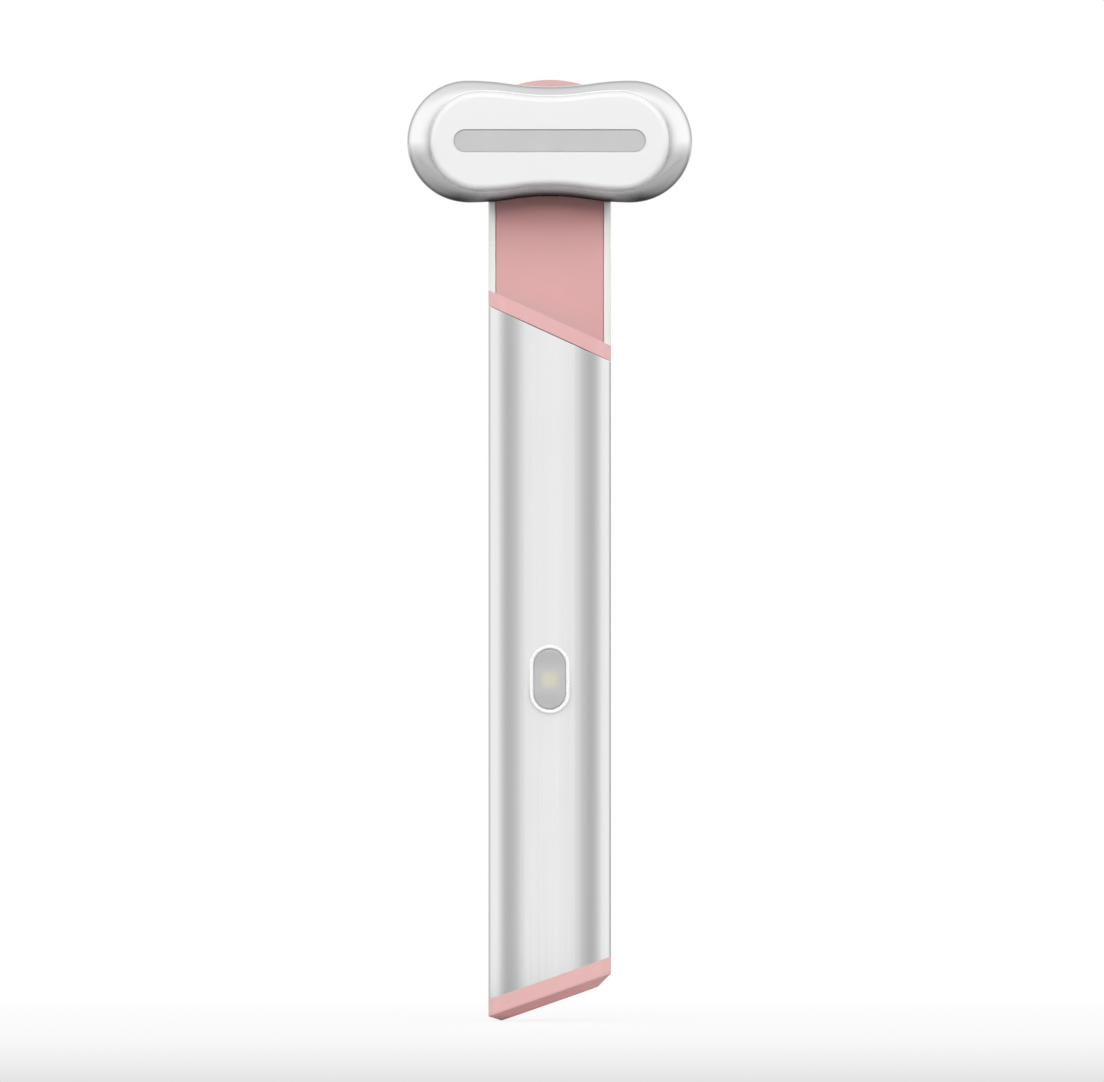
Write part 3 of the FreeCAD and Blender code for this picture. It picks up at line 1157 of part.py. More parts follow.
battery_cell = new_body("battery_cell")
CELL_BACK = f"(-{TRAY_FLOOR} + Sizes.tape_thickness)"
CELL_WIDTH = "(Sizes.tube_width - 2 * Sizes.cell_side)"
pouch = new_sketch(battery_cell, "XZ_Plane", y="Sizes.cell_centre", out=CELL_BACK)
rectangle(pouch, CELL_WIDTH, "Sizes.cell_length")
pad(battery_cell, pouch, "Sizes.cell_thickness")
fillet(battery_cell, lambda edge: edge.BoundBox.ZLength > val("Sizes.cell_length / 2"), "Sizes.cell_edge")
seam = new_sketch(
    battery_cell,
    "XZ_Plane",
    y="Sizes.cell_centre + Sizes.cell_length / 2",
    out=f"{CELL_BACK} + (Sizes.cell_thickness - Sizes.cell_tab_depth) / 2",
)
rectangle(seam, f"{CELL_WIDTH} - 2 * Sizes.cell_edge", "2 * Sizes.cell_tab")
pad(battery_cell, seam, "Sizes.cell_tab_depth")

battery_tape = new_body("battery_tape")
tape = new_sketch(battery_tape, "XZ_Plane", y="Sizes.cell_centre", out=f"-{TRAY_FLOOR}")
rectangle(
    tape,
    f"{CELL_WIDTH} - 2 * Sizes.tape_margin",
    "Sizes.cell_length - 2 * Sizes.tape_margin",
)
pad(battery_tape, tape, "Sizes.tape_thickness")

# ---------------------------------------------------------------- end cap and charging socket
end_cap = new_body("end_cap")
column(end_cap, f"{BASE} - {BASE_RISE} - 2 * Sizes.cap_height", f"{BASE} + {BASE_RISE}")
cut_above(end_cap, BASE, "-Sizes.base_tilt")
spigot_sketch = new_sketch(end_cap, "XY_Plane", out=f"{BASE} - {BASE_RISE} - Sizes.cap_height")
rounded(
    spigot_sketch,
    f"Sizes.tube_width + 2 * ({INSERT})",
    f"Sizes.tube_depth + 2 * ({INSERT})",
    f"Sizes.tube_corner + {INSERT}",
)
pad(end_cap, spigot_sketch, f"Sizes.cap_height + 2 * {BASE_RISE} + Sizes.spigot_height")
cut_above(end_cap, f"{BASE} + Sizes.spigot_height", "-Sizes.base_tilt")
cut_below(end_cap, f"{BASE} - Sizes.cap_height", "-Sizes.base_tilt")
foot_height = val(f"{BASE} - Sizes.cap_height")
foot_slope = val("tan(Sizes.base_tilt)")


def on_foot(edge):
    return all(abs(v.Z - foot_height - v.X * foot_slope) < 1e-4 for v in edge.Vertexes)


chamfer(end_cap, on_foot, "Sizes.cap_chamfer", "Sizes.cap_chamfer_foot")
room = new_sketch(end_cap, "XZ_Plane")
reach_x = "(Sizes.tube_width / 2 - Sizes.tube_wall - Sizes.insert_gap - Sizes.spigot_wall)"
rise_x = f"({reach_x} * tan(Sizes.base_tilt))"
polygon(
    room,
    [
        (f"-{reach_x}", f"{BASE} - {rise_x}"),
        (reach_x, f"{BASE} + {rise_x}"),
        (reach_x, f"{BASE} + {rise_x} + 2 * Sizes.spigot_height"),
        (f"-{reach_x}", f"{BASE} - {rise_x} + 2 * Sizes.spigot_height"),
    ],
)
room_depth = "2 * (Sizes.tube_depth / 2 - Sizes.tube_wall - Sizes.insert_gap - Sizes.spigot_wall)"
pocket(end_cap, room, room_depth, both_ways=True)
socket_hole = base_sketch(end_cap)
rounded(
    socket_hole,
    "Sizes.socket_width + 2 * Sizes.insert_gap",
    "Sizes.socket_height + 2 * Sizes.insert_gap",
    "Sizes.socket_corner + Sizes.insert_gap",
)
pocket(end_cap, socket_hole, "4 * Sizes.cap_height", both_ways=True)

FOOT_DEPTH = "(Sizes.cap_height * cos(Sizes.base_tilt))"
usb_shell = new_body("usb_shell")
can_profile = base_sketch(usb_shell, f"-{FOOT_DEPTH}")
rounded(can_profile, "Sizes.socket_width", "Sizes.socket_height", "Sizes.socket_corner")
pad(usb_shell, can_profile, "Sizes.socket_length")
mouth = base_sketch(usb_shell, f"-{FOOT_DEPTH}")
rounded(
    mouth,
    "Sizes.socket_width - 2 * Sizes.socket_wall",
    "Sizes.socket_height - 2 * Sizes.socket_wall",
    "Sizes.socket_corner - Sizes.socket_wall",
)
pocket(usb_shell, mouth, "Sizes.socket_length - Sizes.socket_back", flip=True)

usb_tongue = new_body("usb_tongue")
TONGUE_START = f"-{FOOT_DEPTH} + Sizes.socket_length - Sizes.socket_back - Sizes.tongue_length"
tongue = base_sketch(usb_tongue, TONGUE_START)
rectangle(tongue, "Sizes.tongue_width", "Sizes.tongue_height")
pad(usb_tongue, tongue, "Sizes.tongue_length")

charge_board = new_body("charge_board")
card = base_sketch(charge_board, "Sizes.charge_board_start")
rectangle(
    card,
    "Sizes.tube_width - 2 * Sizes.charge_board_margin",
    "Sizes.charge_board_thickness",
    y="(Sizes.socket_height / 2 + Sizes.charge_board_thickness / 2 + Sizes.cover_play)",
)
pad(charge_board, card, "Sizes.charge_board_length")

# ---------------------------------------------------------------- check every object, then write
doc.recompute()
for item in doc.Objects:
    if "Invalid" in item.State or "Error" in item.State:
        raise RuntimeError(f"{item.Label} ({item.Name}) did not recompute: {item.State}")

bodies = [item for item in doc.Objects if item.TypeId == "PartDesign::Body"]
for body in bodies:
    shape = body.Shape
    if shape.isNull() or not shape.isValid():
        raise RuntimeError(f"{body.Label} has no valid shape")
    if len(shape.Solids) != 1:
        raise RuntimeError(f"{body.Label} has {len(shape.Solids)} solids")

os.makedirs("parts", exist_ok=True)
for body in bodies:
    body.Shape.exportStep(f"parts/{body.Label}.step")
    box = body.Shape.BoundBox
    print(
        f"{body.Label}: {body.Shape.Volume:.2f} mm3, x {box.XMin:.2f}..{box.XMax:.2f}, "
        f"y {box.YMin:.2f}..{box.YMax:.2f}, z {box.ZMin:.2f}..{box.ZMax:.2f}"
    )
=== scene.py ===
import math

import bmesh
import bpy
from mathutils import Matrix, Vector


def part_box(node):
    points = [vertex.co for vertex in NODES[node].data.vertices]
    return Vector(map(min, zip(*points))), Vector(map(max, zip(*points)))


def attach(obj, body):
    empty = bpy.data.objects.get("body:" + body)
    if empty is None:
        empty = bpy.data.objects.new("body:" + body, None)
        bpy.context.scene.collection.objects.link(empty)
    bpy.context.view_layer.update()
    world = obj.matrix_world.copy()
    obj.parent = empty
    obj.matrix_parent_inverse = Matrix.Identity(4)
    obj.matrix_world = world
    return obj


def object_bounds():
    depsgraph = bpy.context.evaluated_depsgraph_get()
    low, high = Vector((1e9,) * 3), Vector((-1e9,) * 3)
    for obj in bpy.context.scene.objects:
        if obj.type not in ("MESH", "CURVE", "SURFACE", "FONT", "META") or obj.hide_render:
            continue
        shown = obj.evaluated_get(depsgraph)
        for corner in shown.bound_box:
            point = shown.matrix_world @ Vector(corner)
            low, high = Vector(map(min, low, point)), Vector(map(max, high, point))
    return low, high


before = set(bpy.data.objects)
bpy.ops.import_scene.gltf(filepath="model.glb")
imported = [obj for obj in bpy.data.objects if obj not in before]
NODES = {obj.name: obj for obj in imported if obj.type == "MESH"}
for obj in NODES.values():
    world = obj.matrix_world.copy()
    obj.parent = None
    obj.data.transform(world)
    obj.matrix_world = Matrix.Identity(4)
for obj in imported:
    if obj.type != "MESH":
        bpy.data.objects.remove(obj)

# Finishes, seals, studio and camera of a heated eye massager wand.  Metres, in the frame of the
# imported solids: the handle runs along Z, and the warm plate and the button look towards -Y.

MM = 0.001
cad_box = [list(corner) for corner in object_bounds()]

# ---------------------------------------------------------------- colours: red, green, blue, alpha
WHITE = (1.0, 1.0, 1.0, 1)
BLACK = (0.0, 0.0, 0.0, 1)
PLATE_WHITE = (0.90, 0.90, 0.90, 1)
RING_WHITE = (0.93, 0.93, 0.93, 1)
PLATED_SILVER = (0.975, 0.975, 0.98, 1)
ALUMINIUM = (0.91, 0.91, 0.915, 1)
ALUMINIUM_DULL = (0.87, 0.87, 0.875, 1)
WINDOW_GREY = (0.60, 0.60, 0.60, 1)
WINDOW_EDGE = (0.45, 0.45, 0.45, 1)
BUTTON_GREY = (0.50, 0.50, 0.50, 1)
# Painted light of the status light on the button cap: a lighter band and a pale yellow patch.
BUTTON_HALO = (0.55, 0.545, 0.55, 1)
BUTTON_LIGHT = (0.66, 0.65, 0.51, 1)
SOLDER_MASK = (0.02, 0.16, 0.075, 1)
BOARD_TRACK = (0.04, 0.27, 0.13, 1)
BOARD_GOLD = (0.80, 0.62, 0.28, 1)
FILM_AMBER = (0.62, 0.30, 0.06, 1)
FILM_COPPER = (0.50, 0.20, 0.07, 1)
CELL_FOIL = (0.70, 0.71, 0.73, 1)
CELL_TAPE = (0.70, 0.42, 0.08, 1)

# Colours of mouldings and of bare metal, without alpha.
PINK = (0.74, 0.405, 0.40)
# CAP_PINK, COLLAR_PINK and FOOT_PINK are the same pink plastic as PINK, in lighter and darker copies that
# paint in how the light falls on the dome cap, the collar and the end cap.
CAP_PINK = (0.69, 0.443, 0.422)
COLLAR_PINK = (0.84, 0.48, 0.487)
FOOT_PINK = (0.725, 0.425, 0.42)
OFF_WHITE = (0.94, 0.925, 0.89)
INNER_WHITE = (0.80, 0.80, 0.77)
INNER_BLACK = (0.03, 0.03, 0.032)
LENS_YELLOW = (0.80, 0.76, 0.50)
FOAM_GREY = (0.06, 0.06, 0.065)
PLATE_SEAL_WHITE = (0.96, 0.96, 0.96)
BUTTON_SEAL_WHITE = (0.9, 0.9, 0.9)
STEEL = (0.62, 0.62, 0.64)
BRASS = (0.78, 0.60, 0.30)

# ---------------------------------------------------------------- painted shade and light of the finishes
# Each list holds stops of (place, tone or strength), with places from 0 to 1.
# Painted shade across the tube's front, standing in for the soft gradient of its reflection.
TUBE_FRONT_SHADE = [(0, 0.93), (0.6, 1.0), (1, 0.95)]  # across the tube's front, left to right
TUBE_FRONT_HALF = 5.0 * MM   # half of that front
# painted shadow on the tube under the button's ring, made with the crease shade
RING_SHADE = 0.6              # how strongly the tube darkens under the button's ring

FOOT_AXIS = (0.3305, 0.0, -0.9438)  # square to the slanted foot
FOOT_DEPTH = 2.0 * MM         # of the end cap's chamfer, along that axis
# Painted shade on the end cap's chamfer, which faces down where little light gets in: tone from the
# chamfer's start (0) to the foot (1).
FOOT_SHADE = [(0, 1.0), (0.08, 1.0), (0.3, 0.84), (0.36, 0.97), (0.75, 1.0), (1, 0.9)]
# share of the painted shade's redder tint, over the same way
FOOT_SHARE = [(0, 0.0), (0.3, 0.0), (0.4, 1.0), (1, 1.0)]  # of the tint
FOOT_SHADE_TINT = (1.0, 0.87, 0.87, 1)

# Painted shade on the neck under the head's overhang: strength of the crease shade, from NECK_SHADE_DROP
# below the head (0) up to the head (1).
NECK_SHADE = [(0, 0), (0.4, 0.25), (0.75, 0.56), (0.85, 0.48), (1, 0.25)]
NECK_SHADE_DROP = 10.0 * MM   # how far below the head it reaches
NECK_REACH = 8.0 * MM
NECK_SHADE_TINT = (0.88, 0.05, 0.05, 1)
# painted shade against the collar's ledge
LEDGE_NONE = 8.0 * MM         # below the head, where the shade against the collar starts
LEDGE_FULL = 12.0 * MM
LEDGE_REACH = 4.0 * MM
# cool tint of that painted shade, which takes out the warm bounce light from the collar
LEDGE_SHADE_TINT = (0.5, 0.95, 0.95, 1)

# Painted shade on the shell's underside over the neck, in place of the neck's reflection.
UNDER_DEPTH = 2.8 * MM        # of the shell's underside that darkens over the neck
UNDER_SHADE = [(0, 0), (0.16, 0), (0.28, 0.25), (0.42, 0.6), (0.6, 0.85), (1, 0.97)]
UNDER_ASIDE = (1.0 * MM, 6.0 * MM)   # outside the neck, where that shade fades out
UNDER_HEIGHT = (3.0 * MM, 5.0 * MM)  # above the shell's lowest point, likewise
SHELL_REACH = 3.0 * MM
# Strength of the painted crease shade on the shell, from its lowest point (0) to its top (1).
SHELL_CREASE_SHADE = [(0, 0.05), (0.12, 0.15), (0.26, 1.1), (0.4, 1.9), (0.62, 1.5), (0.85, 0.2), (1, 0.1)]
# Painted shade of the two lobes, darker low down: tone over the shell's height, from its lowest point (0)
# to its top (1).
SHELL_LOBE_SHADE = [
    (0, 0.12), (0.03, 0.2), (0.05, 0.34), (0.085, 0.54), (0.2, 0.6), (0.38, 0.68), (0.5, 1.0), (1, 1.0),
]

PLATE_REACH = 2.1 * MM
# Strength of the painted crease shade on the plate, from its lowest point (0) to its top (1).
PLATE_CREASE_SHADE = [(0, 0.3), (0.2, 0.7), (0.4, 1.2), (0.6, 1.2), (0.85, 0.7), (1, 0.6)]
# painted shade on the plate's rounded upper edge, toning down its highlight
PLATE_RIM_SHADE = 0.2               # how much darker the plate's rounded edge is
PLATE_RIM_HEIGHT = (3.0 * MM, 6.0 * MM)  # above the plate's lowest point, where that starts
PLATE_RIM_TURN = (0.5, 0.96)  # how squarely it faces forward, from full shade to none

# the painted light patch on the button
LIGHT_CORE = 0.55             # mm from the middle of the button's lit patch, where it is brightest
LIGHT_EDGE = 1.95             # mm from the middle, where the patch ends
LIGHT_SQUARENESS = 3.0        # 2 would make the patch round
# the lighter painted band across the button
HALO_CORE = 1.4 * MM          # above and below the middle
HALO_EDGE = 3.4 * MM
CELL_TAPE_EDGE = (3.1 * MM, 3.0 * MM)  # below the cell's top

# ---------------------------------------------------------------- seals
SEAL_RADIUS = 0.12 * MM
SEAL_DEPTH = 0.12 * MM        # of the plate's seal, behind the shell's face
SEAL_OUT = 0.05 * MM          # outside the plate's edge
SLOT_HALF_HEIGHT = 4.0 * MM   # the window's slot stays within these two of the plate's middle
SLOT_HALF_LENGTH = 17.5 * MM
RING_RIM = 0.55 * MM          # width of the button's ring
BUTTON_SEAL_RADIUS = 0.05 * MM
BUTTON_SEAL_DEPTH = 0.32 * MM  # behind the ring's face
BUTTON_SEAL_STEPS = 96

# ---------------------------------------------------------------- camera
LENS = 900.0                  # mm, so that the view is almost without perspective
SENSOR = 36.0                 # mm, Blender's own default
VIEW_WIDTH = 182.5 * MM       # what the frame takes in at the wand
VIEW_PLANE = -4.5 * MM        # Y of the plane that is VIEW_WIDTH wide
VIEW_X = 0.38 * MM            # middle of the frame
VIEW_Z = 19.0 * MM
VIEW_DISTANCE = VIEW_WIDTH * LENS / SENSOR

# ---------------------------------------------------------------- floor and sky
SKY = 0.14                    # strength of the light from above, for matt surfaces
HORIZON = (-0.02, 0.1)        # heights between which that light starts
# What gloss sees round the wand, from straight ahead of it (0) to straight behind it (1).
GLOSS_BEHIND = [(0.0, 1.0), (0.58, 1.0), (0.75, 0.78), (0.87, 0.42), (0.93, 0.42), (0.965, 1.0)]
GLOSS_ABOVE = 0.72            # what gloss sees straight above
GLOSS_ABOVE_FROM = 0.55       # height at which it starts to darken towards that
FLOOR_Z = cad_box[0][2] - 0.1 * MM
FLOOR_HALF = 6.0
FLOOR_PALE = (0.85, 0.85, 0.85, 1)
FLOOR_SHADOW = 0.12           # share of the wand's shadow that shows close by
FLOOR_SHADOW_RADII = (0.06, 0.28)  # metres over which it fades out
FLOOR_UNDER = 0.75            # colour right under the wand
FLOOR_BODY = 0.22             # colour further off, which lights the wand from below
FLOOR_BODY_RADII = (0.07, 0.12)
FLOOR_FADE_FROM = -0.04       # shares of the way from the wand to the camera
FLOOR_FADE_TO = 0.11
# Painted shade of the floor, darker towards the camera.
FLOOR_FADE = [                # what the camera sees between them
    (0.0, 1.0), (0.37, 0.965), (0.575, 0.93), (0.77, 0.87), (0.865, 0.84), (0.96, 0.8), (1.0, 0.78),
]
FLOOR_TONES = [               # what gloss sees: metres from the wand, and the tone there
    (0, 0.12), (0.05, 0.24), (0.08, 0.36), (0.17, 0.62), (0.27, 0.72), (0.6, 0.82), (1.5, 0.9), (3, 0.95),
]
FLOOR_BEHIND = 0.15           # share of that tone kept close behind the wand
FLOOR_BEHIND_FAR = 0.8        # and further off
FLOOR_BEHIND_RADII = (0.35, 0.9)
FLOOR_BEHIND_FROM = 0.15      # Y over distance, from which a place counts as behind

# ---------------------------------------------------------------- lamps, in metres and watts
LAMP_AIM = (0, 0, 0.03)
KEY_PLACE = (0.0, -1.22, 1.0)
KEY_SIZE = (2.8, 1.25)
KEY_POWER = 30.0
FILL_PLACE = (1.2, -0.25, 0.15)
FILL_SIZE = (0.7, 1.1)
FILL_POWER = 8.0
BACK_PLACE = (1.0, 0.9, 0.7)
BACK_SIZE = (1.2, 1.2)
BACK_POWER = 7.5

# ---------------------------------------------------------------- grey cards
CARD_RADIUS = 80 * MM
CARD_LOW = FLOOR_Z + 1 * MM
CARD_HIGH = 66 * MM
CARD_END = 166.0              # degrees from the view direction
CARD_STEPS = 60
CARD_BRIGHTEST = -3.5 * MM    # X of the lightest line on the front
CARD_TONES = [                # degrees from there, and the tone
    (0, 1.0), (4, 0.95), (10, 0.86), (18, 0.75), (30, 0.61), (48, 0.52), (60, 0.53), (76, 0.72),
    (92, 0.96), (104, 0.98), (132, 0.98), (140, 0.55), (166, 0.55),
]
CARD_LEFT = 1.04              # the left card's outer part is this much lighter
CARD_LEFT_FROM = -20 * MM
CARD_EDGE = (1.12, 0.84)      # behind the wand, on the left and on the right
CARD_EDGE_HALF = 15 * MM
CARD_BACK = (50 * MM, 62 * MM)  # Y over which the cards change to that
CARD_SLANT = (0.03, 0.07)     # a card shows where it is met squarely, and fades out between these


# ---------------------------------------------------------------- node tools
def feed(tree, socket, value):
    """Links a socket to a socket, or sets a plain value on it."""
    if isinstance(value, bpy.types.NodeSocket):
        tree.links.new(value, socket)
    else:
        socket.default_value = value


def add(tree, kind, inputs=(), **settings):
    """New node of a tree.  inputs maps socket names or numbers to values or to other sockets."""
    node = tree.nodes.new(kind)
    for name, value in settings.items():
        setattr(node, name, value)
    for name, value in dict(inputs).items():
        feed(tree, node.inputs[name], value)
    return node


def calc(tree, operation, *values):
    """Result of a Math node."""
    node = add(tree, "ShaderNodeMath", enumerate(values), operation=operation)
    return node.outputs[0]


def span(tree, value, low, high, out_low=0.0, out_high=1.0, smooth=False):
    """value taken from the range low..high to out_low..out_high and held at its ends."""
    node = add(
        tree,
        "ShaderNodeMapRange",
        {"Value": value, "From Min": low, "From Max": high, "To Min": out_low, "To Max": out_high},
        interpolation_type="SMOOTHSTEP" if smooth else "LINEAR",
    )
    return node.outputs["Result"]


def mix(tree, suffix, factor, first, second, **settings):
    """Result of a Mix node, whose sockets of one data type end in the same suffix."""
    node = add(tree, "ShaderNodeMix", **settings)
    for name, value in (("Factor_Float", factor), (f"A_{suffix}", first), (f"B_{suffix}", second)):
        feed(tree, next(s for s in node.inputs if s.identifier == name), value)
    return next(s for s in node.outputs if s.identifier == f"Result_{suffix}")


def blend_colours(tree, factor, first, second, kind="MIX"):
    """first where factor is 0, second where it is 1."""
    return mix(tree, "Color", factor, first, second, data_type="RGBA", blend_type=kind)


def blend_values(tree, factor, first, second):
    """The same for plain values."""
    return mix(tree, "Float", factor, first, second, data_type="FLOAT")


def darken(tree, colour, shade):
    """colour times shade."""
    return blend_colours(tree, 1.0, colour, shade, "MULTIPLY")


def largest(tree, first, *others):
    """The largest of the values."""
    for value in others:
        first = calc(tree, "MAXIMUM", first, value)
    return first


def ramp(tree, value, stops):
    """Colour Ramp with stops of (place, grey)."""
    node = add(tree, "ShaderNodeValToRGB", {"Fac": value})
    elements = node.color_ramp.elements
    elements[0].position = stops[0][0]
    elements[1].position = stops[-1][0]
    for place, _ in stops[1:-1]:
        elements.new(place)
    for element, (_, grey) in zip(elements, stops):
        element.color = (grey, grey, grey, 1.0)
    return node.outputs["Color"]


def group(name, inputs, outputs):
    """Empty shader group with float or colour sockets; returns it with the sockets of its two ends."""
    kinds = {"float": "NodeSocketFloat", "colour": "NodeSocketColor"}
    tree = bpy.data.node_groups.new(name, "ShaderNodeTree")
    for label, kind, value in inputs:
        socket = tree.interface.new_socket(label, in_out="INPUT", socket_type=kinds[kind])
        socket.default_value = value
    for label, kind in outputs:
        tree.interface.new_socket(label, in_out="OUTPUT", socket_type=kinds[kind])
    return tree, tree.nodes.new("NodeGroupInput").outputs, tree.nodes.new("NodeGroupOutput").inputs


def use(tree, made_group, **values):
    """Places a group in a material; an underscore in a name stands for a space."""
    node = tree.nodes.new("ShaderNodeGroup")
    node.node_tree = made_group
    for name, value in values.items():
        feed(tree, node.inputs[name.replace("_", " ")], value)
    return node.outputs


def here(tree):
    """Place on the piece, in metres, which stays with it when it moves."""
    return add(tree, "ShaderNodeTexCoord").outputs["Object"]


def split(tree, vector):
    """The X, Y and Z of a vector."""
    return add(tree, "ShaderNodeSeparateXYZ", {0: vector}).outputs


# ---------------------------------------------------------------- effects shared by the finishes
def make_mottle():
    """Slow, faint change of a colour, as in moulded or coated batches."""
    tree, given, out = group(
        "mottle",
        [("Color", "colour", (0.8, 0.8, 0.8, 1)), ("Amount", "float", 0.05), ("Size", "float", 10 * MM)],
        [("Color", "colour")],
    )
    scale = calc(tree, "DIVIDE", 1.0, given["Size"])
    noise = add(tree, "ShaderNodeTexNoise", {"Vector": here(tree), "Scale": scale, "Detail": 3.0})
    low = calc(tree, "SUBTRACT", 1.0, given["Amount"])
    shade = span(tree, noise.outputs["Fac"], 0.3, 0.7, low, 1.0)
    grey = add(tree, "ShaderNodeCombineColor", {"Red": shade, "Green": shade, "Blue": shade})
    feed(tree, out["Color"], darken(tree, given["Color"], grey.outputs["Color"]))
    return tree


def make_moulded_grain():
    """Very fine spark-eroded texture of a moulding."""
    tree, given, out = group(
        "moulded_grain",
        [("Size", "float", 0.3 * MM), ("Roughness", "float", 0.4), ("Spread", "float", 0.06)],
        [("Height", "float"), ("Roughness", "float")],
    )
    place = here(tree)
    scale = calc(tree, "DIVIDE", 1.0, given["Size"])
    fine = add(tree, "ShaderNodeTexNoise", {"Vector": place, "Scale": scale, "Detail": 2.0})
    broad = add(tree, "ShaderNodeTexNoise", {"Vector": place, "Scale": 90.0, "Detail": 4.0})
    drift = calc(tree, "MULTIPLY", calc(tree, "SUBTRACT", broad.outputs["Fac"], 0.5), given["Spread"])
    feed(tree, out["Height"], fine.outputs["Fac"])
    feed(tree, out["Roughness"], calc(tree, "ADD", given["Roughness"], drift))
    return tree


def make_drawn_lines():
    """Faint lines along Z, left by drawing or brushing."""
    tree, given, out = group(
        "drawn_lines",
        [("Width", "float", 0.4 * MM), ("Length", "float", 30 * MM)],
        [("Height", "float"), ("Tone", "float")],
    )
    narrow = calc(tree, "DIVIDE", 1.0, given["Width"])
    along = calc(tree, "DIVIDE", 1.0, given["Length"])
    stretch = add(tree, "ShaderNodeCombineXYZ", {"X": narrow, "Y": narrow, "Z": along})
    place = add(tree, "ShaderNodeVectorMath", {0: here(tree), 1: stretch.outputs[0]}, operation="MULTIPLY")
    lines = add(tree, "ShaderNodeTexNoise", {"Vector": place.outputs[0], "Scale": 1.0, "Detail": 3.0})
    feed(tree, out["Height"], lines.outputs["Fac"])
    feed(tree, out["Tone"], span(tree, lines.outputs["Fac"], 0.3, 0.7))
    return tree


def make_edge_mask():
    """1 along edges, 0 on the faces."""
    tree, given, out = group(
        "edge_mask",
        [("Radius", "float", 0.3 * MM), ("Gain", "float", 6.0)],
        [("Mask", "float")],
    )
    bevel = add(tree, "ShaderNodeBevel", {"Radius": given["Radius"]}, samples=4)
    normal = add(tree, "ShaderNodeNewGeometry").outputs["Normal"]
    dot = add(tree, "ShaderNodeVectorMath", {0: bevel.outputs[0], 1: normal}, operation="DOT_PRODUCT")
    turned = calc(tree, "SUBTRACT", 1.0, dot.outputs["Value"])
    feed(tree, out["Mask"], span(tree, calc(tree, "MULTIPLY", turned, given["Gain"]), 0.0, 1.0))
    return tree


def make_smudges():
    """Handling marks that change the gloss a little."""
    tree, given, out = group(
        "smudges",
        [("Roughness", "float", 0.3), ("Amount", "float", 0.05)],
        [("Roughness", "float")],
    )
    warp = {"Vector": here(tree), "Scale": 60.0, "Detail": 5.0, "Distortion": 0.6}
    noise = add(tree, "ShaderNodeTexNoise", warp)
    marks = span(tree, noise.outputs["Fac"], 0.45, 0.75)
    feed(tree, out["Roughness"], calc(tree, "MULTIPLY_ADD", marks, given["Amount"], given["Roughness"]))
    return tree


def make_crease_shade():
    """Darker colour in creases and close under an overhang, where little light gets in."""
    tree, given, out = group(
        "crease_shade",
        [
            ("Color", "colour", (0.8, 0.8, 0.8, 1)),
            ("Tint", "colour", BLACK),
            ("Reach", "float", 4 * MM),
            ("Power", "float", 1.0),
        ],
        [("Color", "colour")],
    )
    around = add(tree, "ShaderNodeAmbientOcclusion", {"Distance": given["Reach"]}, samples=8)
    open_share = calc(tree, "POWER", around.outputs["AO"], given["Power"])
    shade = blend_colours(tree, open_share, given["Tint"], WHITE)
    feed(tree, out["Color"], darken(tree, given["Color"], shade))
    return tree


MOTTLE = make_mottle()
CREASE = make_crease_shade()
GRAIN = make_moulded_grain()
LINES = make_drawn_lines()
EDGES = make_edge_mask()
SMUDGES = make_smudges()


# ---------------------------------------------------------------- finishes
def finish(name, **sockets):
    """Material with one Principled shader; plain values sit on the shader's own sockets."""
    material = bpy.data.materials.new(name)
    material.use_nodes = True
    tree = material.node_tree
    shader = tree.nodes["Principled BSDF"]
    for label, value in sockets.items():
        shader.inputs[label.replace("_", " ")].default_value = value
    return material, tree, shader.inputs


def bump(tree, height, distance):
    """Normal of a surface with this relief, distance deep in metres."""
    return add(tree, "ShaderNodeBump", {"Height": height, "Distance": distance}).outputs["Normal"]


def shade_neck(tree, base):
    """The neck's colour with painted shade: deeper and redder close under the head, and cooler against the
    ledge of the collar.
    """
    height = split(tree, here(tree))["Z"]
    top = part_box("head_shell")[0].z
    # painted shade close under the head
    power = ramp(tree, span(tree, height, top - NECK_SHADE_DROP, top), NECK_SHADE)
    base = use(tree, CREASE, Color=base, Tint=NECK_SHADE_TINT, Reach=NECK_REACH, Power=power)["Color"]
    # painted shade against the collar's ledge
    ledge = span(tree, height, top - LEDGE_FULL, top - LEDGE_NONE, 1.0, 0.0)
    return use(tree, CREASE, Color=base, Tint=LEDGE_SHADE_TINT, Reach=LEDGE_REACH, Power=ledge)["Color"]


def shade_foot(tree, base):
    """The end cap's colour with painted shade, deeper and redder on the chamfer of its slanted foot."""
    axis = Vector(FOOT_AXIS)
    end = max(axis.dot(vertex.co) for vertex in NODES["end_cap"].data.vertices)
    along = add(tree, "ShaderNodeVectorMath", {0: here(tree), 1: FOOT_AXIS}, operation="DOT_PRODUCT")
    down = span(tree, along.outputs["Value"], end - FOOT_DEPTH, end)
    # painted shade on the chamfer, deeper and redder towards the foot
    shaded = darken(tree, base, ramp(tree, down, FOOT_SHADE))
    return blend_colours(tree, ramp(tree, down, FOOT_SHARE), shaded, darken(tree, shaded, FOOT_SHADE_TINT))


def moulding(
    name, colour, roughness, grain=0.3 * MM, depth=0.004 * MM, amount=0.05, shade=None, **sockets
):
    """Injection-moulded plastic: slow colour drift, spark-eroded grain, brighter edges, and painted shade
    from the shade function where one is given.
    """
    material, tree, shader = finish(name, **sockets)
    base = use(tree, MOTTLE, Color=(*colour, 1), Amount=amount, Size=12 * MM)["Color"]
    if shade:
        base = shade(tree, base)
    texture = use(tree, GRAIN, Size=grain, Roughness=roughness)
    edge_band = use(tree, EDGES, Radius=0.2 * MM, Gain=2.0)["Mask"]
    edge_colour = tuple(min(1.0, c * 1.08 + 0.01) for c in colour)
    feed(tree, shader["Base Color"], blend_colours(tree, edge_band, base, (*edge_colour, 1)))
    feed(tree, shader["Roughness"], texture["Roughness"])
    feed(tree, shader["Normal"], bump(tree, texture["Height"], depth))
    return material


